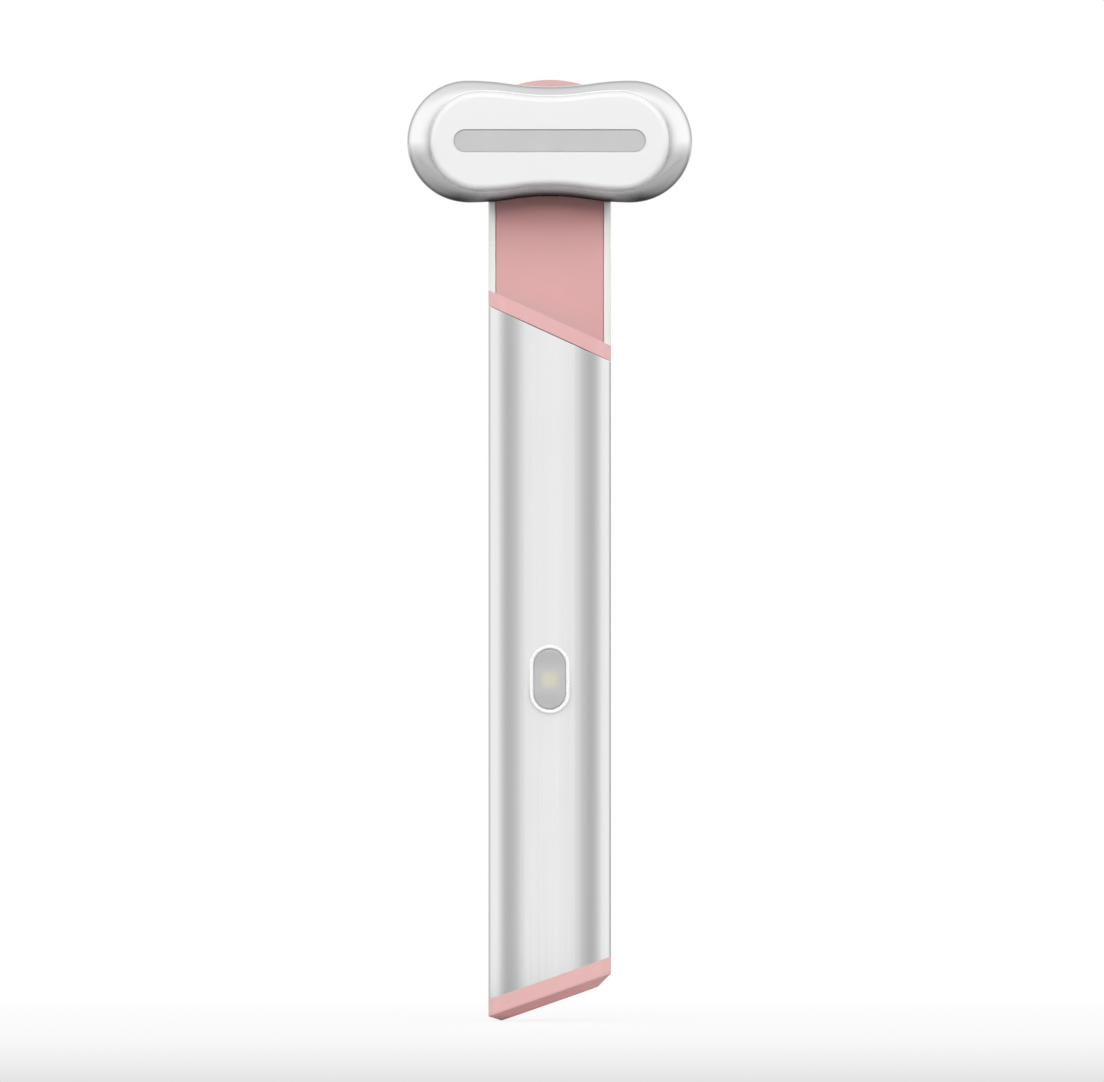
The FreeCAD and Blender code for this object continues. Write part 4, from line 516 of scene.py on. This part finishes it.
def satin_tube():
    """Drawn aluminium tube, polished along its length and clear anodised, with painted shade across its
    front and a painted shadow under the button's ring.
    """
    material, tree, shader = finish("satin_tube", Metallic=1.0)
    lines = use(tree, LINES, Width=1.1 * MM, Length=200 * MM)
    fine = use(tree, LINES, Width=0.16 * MM, Length=30 * MM)
    tone = span(tree, lines["Tone"], 0.0, 1.0, 0.0, 0.5)
    parts = split(tree, here(tree))
    # painted shade across the front
    front_shade = ramp(tree, span(tree, parts["X"], -TUBE_FRONT_HALF, TUBE_FRONT_HALF), TUBE_FRONT_SHADE)
    base = darken(tree, blend_colours(tree, tone, ALUMINIUM, ALUMINIUM_DULL), front_shade)
    # painted shadow under the button's ring
    ring_low, ring_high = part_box("button_bezel")
    power = span(tree, parts["Z"], ring_high.z - 3 * MM, ring_low.z + 2 * MM, 0.0, RING_SHADE)
    base = use(tree, CREASE, Color=base, Reach=2 * MM, Power=power)["Color"]
    feed(tree, shader["Base Color"], base)
    rough = span(tree, fine["Tone"], 0.0, 1.0, 0.17, 0.23)
    feed(tree, shader["Roughness"], use(tree, SMUDGES, Roughness=rough, Amount=0.04)["Roughness"])
    feed(tree, shader["Normal"], bump(tree, fine["Height"], 0.0012 * MM))
    return material


def bright_shell():
    """Vacuum-plated silver of the head, with painted shade: black, dull and less metallic on its underside
    over the neck, darker low on the lobes, and deeper in its crease by the plate.
    """
    material, tree, shader = finish("bright_shell", Specular_IOR_Level=0.0)
    parts = split(tree, here(tree))
    low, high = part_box("head_shell")
    neck_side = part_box("neck_front_cover")[1].x
    height = span(tree, parts["Z"], low.z, high.z)
    # painted shade: over the neck the underside turns black, dull and less metallic
    outside = calc(tree, "SUBTRACT", calc(tree, "ABSOLUTE", parts["X"]), neck_side)
    middle = span(tree, outside, *UNDER_ASIDE, 1.0, 0.0)
    lower = span(tree, calc(tree, "SUBTRACT", parts["Z"], low.z), *UNDER_HEIGHT, 1.0, 0.0)
    under = ramp(tree, span(tree, parts["Y"], low.y, low.y + UNDER_DEPTH), UNDER_SHADE)
    over_neck_shade = calc(tree, "MULTIPLY", calc(tree, "MULTIPLY", middle, lower), under)
    base = use(tree, MOTTLE, Color=PLATED_SILVER, Amount=0.015, Size=10 * MM)["Color"]
    # painted shade low on the lobes, outside the neck
    base = darken(tree, base, blend_colours(tree, middle, ramp(tree, height, SHELL_LOBE_SHADE), WHITE))
    base = blend_colours(tree, over_neck_shade, base, BLACK)
    # painted crease shade by the plate
    power = ramp(tree, height, SHELL_CREASE_SHADE)
    base = use(tree, CREASE, Color=base, Reach=SHELL_REACH, Power=power)["Color"]
    feed(tree, shader["Base Color"], base)
    feed(tree, shader["Metallic"], span(tree, over_neck_shade, 0.0, 1.0, 1.0, 0.0))
    rough = span(tree, over_neck_shade, 0.0, 1.0, 0.16, 0.65)
    feed(tree, shader["Roughness"], use(tree, SMUDGES, Roughness=rough, Amount=0.05)["Roughness"])
    texture = use(tree, GRAIN, Size=0.6 * MM, Roughness=0.2)
    feed(tree, shader["Normal"], bump(tree, texture["Height"], 0.001 * MM))
    return material


def warm_plate():
    """White satin coating of the plate that touches the skin, with painted crease shade round its edge and
    painted shade on its upper rounded edge, which tones down the highlight there.
    """
    material, tree, shader = finish("warm_plate")
    base = use(tree, MOTTLE, Color=PLATE_WHITE, Amount=0.015, Size=10 * MM)["Color"]
    low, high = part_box("contact_plate")
    height = split(tree, here(tree))["Z"]
    # painted crease shade round the plate's edge
    power = ramp(tree, span(tree, height, low.z, high.z), PLATE_CREASE_SHADE)
    base = use(tree, CREASE, Color=base, Reach=PLATE_REACH, Power=power)["Color"]
    # painted shade on the upper rounded edge, where it turns away from the front
    forward = split(tree, add(tree, "ShaderNodeTexCoord").outputs["Normal"])["Y"]
    rim = span(tree, calc(tree, "ABSOLUTE", forward), *PLATE_RIM_TURN, 1.0, 0.0)
    above = calc(tree, "SUBTRACT", height, low.z)
    share = span(tree, above, *PLATE_RIM_HEIGHT, 0.0, PLATE_RIM_SHADE)
    base = blend_colours(tree, calc(tree, "MULTIPLY", rim, share), base, BLACK)
    texture = use(tree, GRAIN, Size=0.25 * MM, Roughness=0.22, Spread=0.05)
    feed(tree, shader["Base Color"], base)
    feed(tree, shader["Roughness"], texture["Roughness"])
    feed(tree, shader["Normal"], bump(tree, texture["Height"], 0.0015 * MM))
    return material


def frosted_bar():
    """Frosted acrylic over the row of light chips, a little darker at its edge."""
    material, tree, shader = finish("frosted_bar", IOR=1.49)
    base = use(tree, MOTTLE, Color=WINDOW_GREY, Amount=0.03, Size=4 * MM)["Color"]
    rim = use(tree, EDGES, Radius=0.3 * MM, Gain=2.6)["Mask"]
    texture = use(tree, GRAIN, Size=0.12 * MM, Roughness=0.5, Spread=0.05)
    feed(tree, shader["Base Color"], blend_colours(tree, rim, base, WINDOW_EDGE))
    feed(tree, shader["Roughness"], texture["Roughness"])
    feed(tree, shader["Normal"], bump(tree, texture["Height"], 0.003 * MM))
    return material


def frosted_button():
    """Grey frosted cap; the status light behind it is painted on as a soft pale yellow patch in a lighter
    band.
    """
    material, tree, shader = finish("frosted_button", IOR=1.49)
    low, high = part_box("status_led")
    middle = tuple((low + high) / 2)
    offset = add(tree, "ShaderNodeVectorMath", {0: here(tree), 1: middle}, operation="SUBTRACT")
    parts = split(tree, offset.outputs[0])
    sides = []
    for axis in ("X", "Z"):
        away = calc(tree, "DIVIDE", calc(tree, "ABSOLUTE", parts[axis]), MM)
        sides.append(calc(tree, "POWER", away, LIGHT_SQUARENESS))
    spread = calc(tree, "POWER", calc(tree, "ADD", *sides), 1 / LIGHT_SQUARENESS)
    # painted light: the pale yellow patch
    light = span(tree, spread, LIGHT_CORE, LIGHT_EDGE, 1.0, 0.0, smooth=True)
    up = calc(tree, "ABSOLUTE", parts["Z"])
    halo = span(tree, up, HALO_CORE, HALO_EDGE, 1.0, 0.0, smooth=True)
    base = use(tree, MOTTLE, Color=BUTTON_GREY, Amount=0.03, Size=3 * MM)["Color"]
    # painted light: a lighter band above and below the middle
    lifted = blend_colours(tree, halo, base, BUTTON_HALO)
    feed(tree, shader["Base Color"], blend_colours(tree, light, lifted, BUTTON_LIGHT))
    texture = use(tree, GRAIN, Size=0.15 * MM, Roughness=0.42, Spread=0.05)
    feed(tree, shader["Roughness"], texture["Roughness"])
    feed(tree, shader["Normal"], bump(tree, texture["Height"], 0.002 * MM))
    return material


def circuit_board():
    """Green solder mask over fine tracks, with gold pads."""
    material, tree, shader = finish("circuit_board")
    parts = split(tree, here(tree))
    plane = add(tree, "ShaderNodeCombineXYZ", {"X": parts["X"], "Y": parts["Z"]}).outputs[0]
    bricks = add(tree, "ShaderNodeTexBrick", {"Vector": plane, "Scale": 700.0, "Mortar Size": 0.05})
    tracks = bricks.outputs["Fac"]
    cells = add(tree, "ShaderNodeTexVoronoi", {"Vector": plane, "Scale": 620.0})
    pads = span(tree, cells.outputs["Distance"], 0.12, 0.17, 1.0, 0.0)
    mask = use(tree, MOTTLE, Color=SOLDER_MASK, Amount=0.2, Size=3 * MM)["Color"]
    tracked = blend_colours(tree, tracks, mask, BOARD_TRACK)
    feed(tree, shader["Base Color"], blend_colours(tree, pads, tracked, BOARD_GOLD))
    feed(tree, shader["Metallic"], pads)
    feed(tree, shader["Roughness"], span(tree, pads, 0.0, 1.0, 0.38, 0.22))
    feed(tree, shader["Normal"], bump(tree, calc(tree, "MAXIMUM", tracks, pads), 0.03 * MM))
    return material


def etched_film(name, direction):
    """Amber film with etched copper lines showing through it."""
    material, tree, shader = finish(name)
    pitch = {"Vector": here(tree), "Scale": 380.0}
    wave = add(tree, "ShaderNodeTexWave", pitch, bands_direction=direction)
    lines = span(tree, wave.outputs["Fac"], 0.45, 0.6)
    amber = use(tree, MOTTLE, Color=FILM_AMBER, Amount=0.1, Size=4 * MM)["Color"]
    feed(tree, shader["Base Color"], blend_colours(tree, lines, amber, FILM_COPPER))
    feed(tree, shader["Metallic"], calc(tree, "MULTIPLY", lines, 0.6))
    feed(tree, shader["Roughness"], use(tree, SMUDGES, Roughness=0.22, Amount=0.1)["Roughness"])
    feed(tree, shader["Normal"], bump(tree, lines, 0.01 * MM))
    return material


def cell_pouch():
    """Silvery foil pouch of the flat cell, a little creased, with amber tape over its upper edge."""
    material, tree, shader = finish("cell_pouch")
    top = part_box("battery_cell")[1].z
    height = split(tree, here(tree))["Z"]
    tape = span(tree, calc(tree, "SUBTRACT", top, height), *CELL_TAPE_EDGE)
    foil = use(tree, MOTTLE, Color=CELL_FOIL, Amount=0.08, Size=6 * MM)["Color"]
    feed(tree, shader["Base Color"], blend_colours(tree, tape, foil, CELL_TAPE))
    feed(tree, shader["Metallic"], span(tree, tape, 0.0, 1.0, 0.85, 0.0))
    feed(tree, shader["Roughness"], use(tree, SMUDGES, Roughness=0.28, Amount=0.15)["Roughness"])
    creases = add(tree, "ShaderNodeTexNoise", {"Vector": here(tree), "Scale": 260.0, "Distortion": 1.5})
    feed(tree, shader["Normal"], bump(tree, creases.outputs["Fac"], 0.08 * MM))
    return material


def glowing_ring():
    """Gloss white ring with a faint, even painted glow for a little of the status light it carries."""
    material, tree, shader = finish("gloss_white_ring", Emission_Color=WHITE, Emission_Strength=0.05)
    texture = use(tree, GRAIN, Size=0.2 * MM, Roughness=0.2)
    feed(tree, shader["Base Color"], use(tree, MOTTLE, Color=RING_WHITE, Amount=0.02)["Color"])
    feed(tree, shader["Roughness"], texture["Roughness"])
    feed(tree, shader["Normal"], bump(tree, texture["Height"], 0.001 * MM))
    return material


def machined(name, colour, roughness):
    """Turned or rolled bare metal with fine lines and brighter edges."""
    material, tree, shader = finish(name, Metallic=1.0)
    lines = use(tree, LINES, Width=0.12 * MM, Length=4 * MM)
    edge = use(tree, EDGES, Radius=0.15 * MM, Gain=3.0)["Mask"]
    dull = tuple(c * 0.86 for c in colour)
    body = blend_colours(tree, lines["Tone"], (*dull, 1), (*colour, 1))
    bright = tuple(min(1.0, c * 1.15) for c in colour)
    feed(tree, shader["Base Color"], blend_colours(tree, edge, body, (*bright, 1)))
    feed(tree, shader["Roughness"], use(tree, SMUDGES, Roughness=roughness, Amount=0.1)["Roughness"])
    feed(tree, shader["Normal"], bump(tree, lines["Height"], 0.004 * MM))
    return material


# ---------------------------------------------------------------- pieces
def assign(material, *names):
    """Gives the material to these solids of the frame."""
    for name in names:
        slots = NODES[name].data.materials
        slots.clear()
        slots.append(material)


def add_bead(name, points, radius, colour, body):
    """Closed soft bead of round section through the points."""
    curve = bpy.data.curves.new(name, "CURVE")
    curve.dimensions = "3D"
    curve.bevel_depth = radius
    curve.bevel_resolution = 3
    spline = curve.splines.new("POLY")
    spline.points.add(len(points) - 1)
    for point, place in zip(spline.points, points):
        point.co = (*place, 1)
    spline.use_cyclic_u = True
    bead = bpy.data.objects.new(name, curve)
    bpy.context.scene.collection.objects.link(bead)
    curve.materials.append(moulding(name, colour, 0.6, amount=0.03))
    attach(bead, body)


def add_button_seal():
    """Pale dust seal in the gap between the button and its ring."""
    low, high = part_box("button_bezel")
    middle = (low + high) / 2
    half = (high.x - low.x) / 2
    straight = (high.z - low.z) / 2 - half
    radius = half - RING_RIM - BUTTON_SEAL_RADIUS
    points = []
    for step in range(BUTTON_SEAL_STEPS):
        turn = math.tau * (step + 0.5) / BUTTON_SEAL_STEPS
        shift = math.copysign(straight, math.sin(turn))
        x, z = radius * math.cos(turn), radius * math.sin(turn) + shift
        points.append((middle.x + x, low.y + BUTTON_SEAL_DEPTH, middle.z + z))
    add_bead("button_seal", points, BUTTON_SEAL_RADIUS, BUTTON_SEAL_WHITE, "handle")


def add_plate_seal():
    """Soft bead in the joint between the warm plate and the silver shell."""
    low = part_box("head_shell")[0]
    form = bmesh.new()
    form.from_mesh(NODES["contact_plate"].data)
    middle = sum(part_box("contact_plate"), Vector()) / 2
    cut = bmesh.ops.bisect_plane(
        form,
        geom=form.verts[:] + form.edges[:] + form.faces[:],
        plane_co=(0, low.y + SEAL_DEPTH, 0),
        plane_no=(0, 1, 0),
    )
    rim = [item for item in cut["geom_cut"] if isinstance(item, bmesh.types.BMVert)]
    points = [v.co - middle for v in rim]
    outline = sorted(points, key=lambda p: math.atan2(p.z, p.x))
    outer = [p for p in outline if abs(p.z) > SLOT_HALF_HEIGHT or abs(p.x) > SLOT_HALF_LENGTH]
    form.free()
    places = []
    for point in outer:
        grown = point * (1 + SEAL_OUT / Vector((point.x, point.z)).length)
        places.append((middle.x + grown.x, low.y + SEAL_DEPTH, middle.z + grown.z))
    add_bead("plate_seal", places, SEAL_RADIUS, PLATE_SEAL_WHITE, "head_unit")


def dress_visible():
    """Finishes of the pieces that are seen."""
    assign(satin_tube(), "handle_tube")
    assign(bright_shell(), "head_shell", "head_rear_cover")
    assign(warm_plate(), "contact_plate")
    assign(frosted_bar(), "light_window")
    covers = moulding("pink_plastic", PINK, 0.38, shade=shade_neck)
    assign(covers, "neck_front_cover", "neck_rear_cover")
    assign(moulding("pink_cap", CAP_PINK, 0.38), "neck_top_cap")
    assign(moulding("pink_collar", COLLAR_PINK, 0.34), "swivel_collar")
    assign(moulding("pink_end_cap", FOOT_PINK, 0.34, shade=shade_foot), "end_cap")
    assign(moulding("off_white_plastic", OFF_WHITE, 0.42), "neck_frame")
    assign(glowing_ring(), "button_bezel")
    assign(frosted_button(), "button_cap")


def dress_inside():
    """Finishes of the pieces inside the head and the handle."""
    steel = machined("plain_steel", STEEL, 0.3)
    brass = machined("turned_brass", BRASS, 0.25)
    white = moulding("inner_white_plastic", INNER_WHITE, 0.5)
    black = moulding("black_plastic", INNER_BLACK, 0.45)
    assign(steel, "motor_can", "motor_shaft", "head_bracket", "retaining_ring", "usb_shell")
    assign(steel, "bracket_screw_left", "bracket_screw_right")
    assign(brass, "eccentric_weight", "swivel_spindle")
    assign(white, "inner_tray", "motor_cradle", "bearing_plug", "friction_washer")
    assign(black, "switch_body", "switch_plunger", "usb_tongue", "temperature_sensor")
    assign(etched_film("heater_film", "Z"), "heater_film")
    assign(etched_film("flat_cable", "X"), "flex_cable")
    assign(circuit_board(), "main_board", "led_board", "charge_board")
    lit = {"Emission_Color": (1.0, 0.93, 0.6, 1), "Emission_Strength": 0.4}
    assign(moulding("pale_lens", LENS_YELLOW, 0.25, **lit), "status_led")
    assign(cell_pouch(), "battery_cell")
    foam = moulding("foam_tape", FOAM_GREY, 0.9, grain=0.6 * MM, depth=0.05 * MM)
    assign(foam, "battery_tape")


# ---------------------------------------------------------------- studio
def add_camera():
    """Level camera, square to the wand's front."""
    data = bpy.data.cameras.new("camera")
    data.lens = LENS
    data.sensor_width = SENSOR
    data.clip_start = 0.1
    data.clip_end = 100.0
    camera = bpy.data.objects.new("camera", data)
    camera.location = (VIEW_X, VIEW_PLANE - VIEW_DISTANCE, VIEW_Z)
    camera.rotation_euler = (math.radians(90), 0, 0)
    bpy.context.scene.collection.objects.link(camera)
    bpy.context.scene.camera = camera


def add_world():
    """White to the camera; bright with darker zones to gloss, and a soft sky for matt surfaces."""
    world = bpy.data.worlds.new("studio")
    bpy.context.scene.world = world
    world.use_nodes = True
    tree = world.node_tree
    tree.nodes.clear()
    rays = add(tree, "ShaderNodeLightPath").outputs
    direction = split(tree, add(tree, "ShaderNodeTexCoord").outputs["Generated"])
    behind = ramp(tree, span(tree, direction["Y"], -1.0, 1.0), GLOSS_BEHIND)
    above = span(tree, direction["Z"], GLOSS_ABOVE_FROM, 1.0, 1.0, GLOSS_ABOVE)
    gloss = calc(tree, "MULTIPLY", behind, above)
    sky = span(tree, direction["Z"], *HORIZON, 0.0, SKY)
    strength = blend_values(tree, rays["Is Glossy Ray"], sky, gloss)
    clear = largest(tree, rays["Is Camera Ray"], rays["Is Transmission Ray"])
    strength = blend_values(tree, clear, strength, 1.0)
    background = add(tree, "ShaderNodeBackground", {"Color": WHITE, "Strength": strength})
    add(tree, "ShaderNodeOutputWorld", {"Surface": background.outputs[0]})


def studio_material(name):
    """Material without nodes yet, for the studio's own pieces."""
    material = bpy.data.materials.new(name)
    material.use_nodes = True
    material.node_tree.nodes.clear()
    return material, material.node_tree


def add_floor():
    """Pale floor that keeps the wand's shadow, with painted shade towards the camera.  Gloss sees it
    darker close by and behind the wand.
    """
    mesh = bpy.data.meshes.new("floor")
    corners = [(-1, -1), (1, -1), (1, 1), (-1, 1)]
    mesh.from_pydata([(x * FLOOR_HALF, y * FLOOR_HALF, FLOOR_Z) for x, y in corners], [], [(0, 1, 2, 3)])
    floor = bpy.data.objects.new("floor", mesh)
    bpy.context.scene.collection.objects.link(floor)
    material, tree = studio_material("pale_floor")
    rays = add(tree, "ShaderNodeLightPath").outputs
    place = here(tree)
    depth = split(tree, place)["Y"]
    forward = calc(tree, "MULTIPLY", depth, -1.0 / VIEW_DISTANCE)
    # painted shade, darker towards the camera
    fade = ramp(tree, span(tree, forward, FLOOR_FADE_FROM, FLOOR_FADE_TO), FLOOR_FADE)
    radius = add(tree, "ShaderNodeVectorMath", {0: place}, operation="LENGTH").outputs["Value"]
    near = span(tree, radius, *FLOOR_SHADOW_RADII, FLOOR_SHADOW, 0.0, smooth=True)
    white = add(tree, "ShaderNodeEmission", {"Color": fade, "Strength": 1.0}).outputs[0]
    pale = add(tree, "ShaderNodeBsdfDiffuse", {"Color": FLOOR_PALE}).outputs[0]
    shown = add(tree, "ShaderNodeMixShader", {0: near, 1: white, 2: pale}).outputs[0]
    disc = span(tree, radius, *FLOOR_BODY_RADII, FLOOR_UNDER, FLOOR_BODY, smooth=True)
    body = add(tree, "ShaderNodeBsdfDiffuse", {"Color": disc}).outputs[0]
    end = FLOOR_TONES[-1][0]
    outwards = ramp(tree, span(tree, radius, 0.0, end), [(at / end, tone) for at, tone in FLOOR_TONES])
    turned = calc(tree, "DIVIDE", depth, radius)
    behind = span(tree, turned, FLOOR_BEHIND_FROM, 1.0, 1.0, FLOOR_BEHIND)
    far_behind = span(tree, radius, *FLOOR_BEHIND_RADII, FLOOR_BEHIND, FLOOR_BEHIND_FAR)
    sheen = calc(tree, "MULTIPLY", outwards, largest(tree, behind, far_behind))
    mirrored = largest(tree, rays["Is Glossy Ray"], rays["Is Transmission Ray"])
    backdrop = add(tree, "ShaderNodeEmission", {"Color": sheen, "Strength": 1.0}).outputs[0]
    others = add(tree, "ShaderNodeMixShader", {0: mirrored, 1: body, 2: backdrop}).outputs[0]
    surface = add(tree, "ShaderNodeMixShader", {0: rays["Is Camera Ray"], 1: others, 2: shown}).outputs[0]
    add(tree, "ShaderNodeOutputMaterial", {"Surface": surface})
    mesh.materials.append(material)


def add_lamp(name, place, size, power):
    """Soft rectangular lamp, aimed at the wand and not seen in its gloss."""
    data = bpy.data.lights.new(name, "AREA")
    data.shape = "RECTANGLE"
    data.size, data.size_y = size
    data.energy = power
    lamp = bpy.data.objects.new(name, data)
    lamp.location = place
    lamp.rotation_euler = (Vector(LAMP_AIM) - Vector(place)).to_track_quat("-Z", "Y").to_euler()
    lamp.visible_glossy = False
    bpy.context.scene.collection.objects.link(lamp)


def add_lamps():
    """A wide key lamp ahead and above, and a pair of lamps at each side and behind."""
    add_lamp("key", KEY_PLACE, KEY_SIZE, KEY_POWER)
    for name, (x, y, z), size, power in (
        ("fill", FILL_PLACE, FILL_SIZE, FILL_POWER),
        ("back", BACK_PLACE, BACK_SIZE, BACK_POWER),
    ):
        add_lamp(f"{name}_left", (-x, y, z), size, power)
        add_lamp(f"{name}_right", (x, y, z), size, power)


def add_cards():
    """Two curved grey cards beside the handle, seen only in gloss: they draw the tube's soft bands."""
    material, tree = studio_material("grey_card")
    parts = split(tree, here(tree))
    aside = calc(tree, "ABSOLUTE", calc(tree, "SUBTRACT", parts["X"], CARD_BRIGHTEST))
    ahead = calc(tree, "MULTIPLY", parts["Y"], -1.0)
    angle = span(tree, calc(tree, "ARCTAN2", aside, ahead), 0.0, math.radians(CARD_END))
    grey = ramp(tree, angle, [(at / CARD_END, tone) for at, tone in CARD_TONES])
    grey = darken(tree, grey, span(tree, parts["X"], -CARD_RADIUS, CARD_LEFT_FROM, CARD_LEFT, 1.0))
    back = span(tree, parts["Y"], *CARD_BACK)
    edge = span(tree, parts["X"], -CARD_EDGE_HALF, CARD_EDGE_HALF, *CARD_EDGE)
    grey = darken(tree, grey, blend_colours(tree, back, WHITE, edge))
    glow = add(tree, "ShaderNodeEmission", {"Color": grey, "Strength": 1.0}).outputs[0]
    clear = add(tree, "ShaderNodeBsdfTransparent").outputs[0]
    slant = add(tree, "ShaderNodeLayerWeight", {"Blend": 0.5}).outputs["Facing"]
    hidden = span(tree, slant, *CARD_SLANT)
    shown = add(tree, "ShaderNodeMixShader", {0: hidden, 1: glow, 2: clear}).outputs[0]
    add(tree, "ShaderNodeOutputMaterial", {"Surface": shown})
    for side, name in ((-1, "card_left"), (1, "card_right")):
        points = []
        for step in range(CARD_STEPS + 1):
            turn = math.radians(CARD_END * step / CARD_STEPS)
            x, y = side * CARD_RADIUS * math.sin(turn), -CARD_RADIUS * math.cos(turn)
            points += [(x, y, CARD_LOW), (x, y, CARD_HIGH)]
        faces = [(2 * i, 2 * i + 2, 2 * i + 3, 2 * i + 1) for i in range(CARD_STEPS)]
        mesh = bpy.data.meshes.new(name)
        mesh.from_pydata(points, [], faces)
        mesh.materials.append(material)
        card = bpy.data.objects.new(name, mesh)
        bpy.context.scene.collection.objects.link(card)
        for ray in ("camera", "diffuse", "shadow", "transmission", "volume_scatter"):
            setattr(card, f"visible_{ray}", False)


# ---------------------------------------------------------------- the scene
dress_visible()
dress_inside()
add_plate_seal()
add_button_seal()
add_camera()
add_world()
add_floor()
add_cards()
add_lamps()
bpy.context.scene.view_settings.view_transform = "Standard"
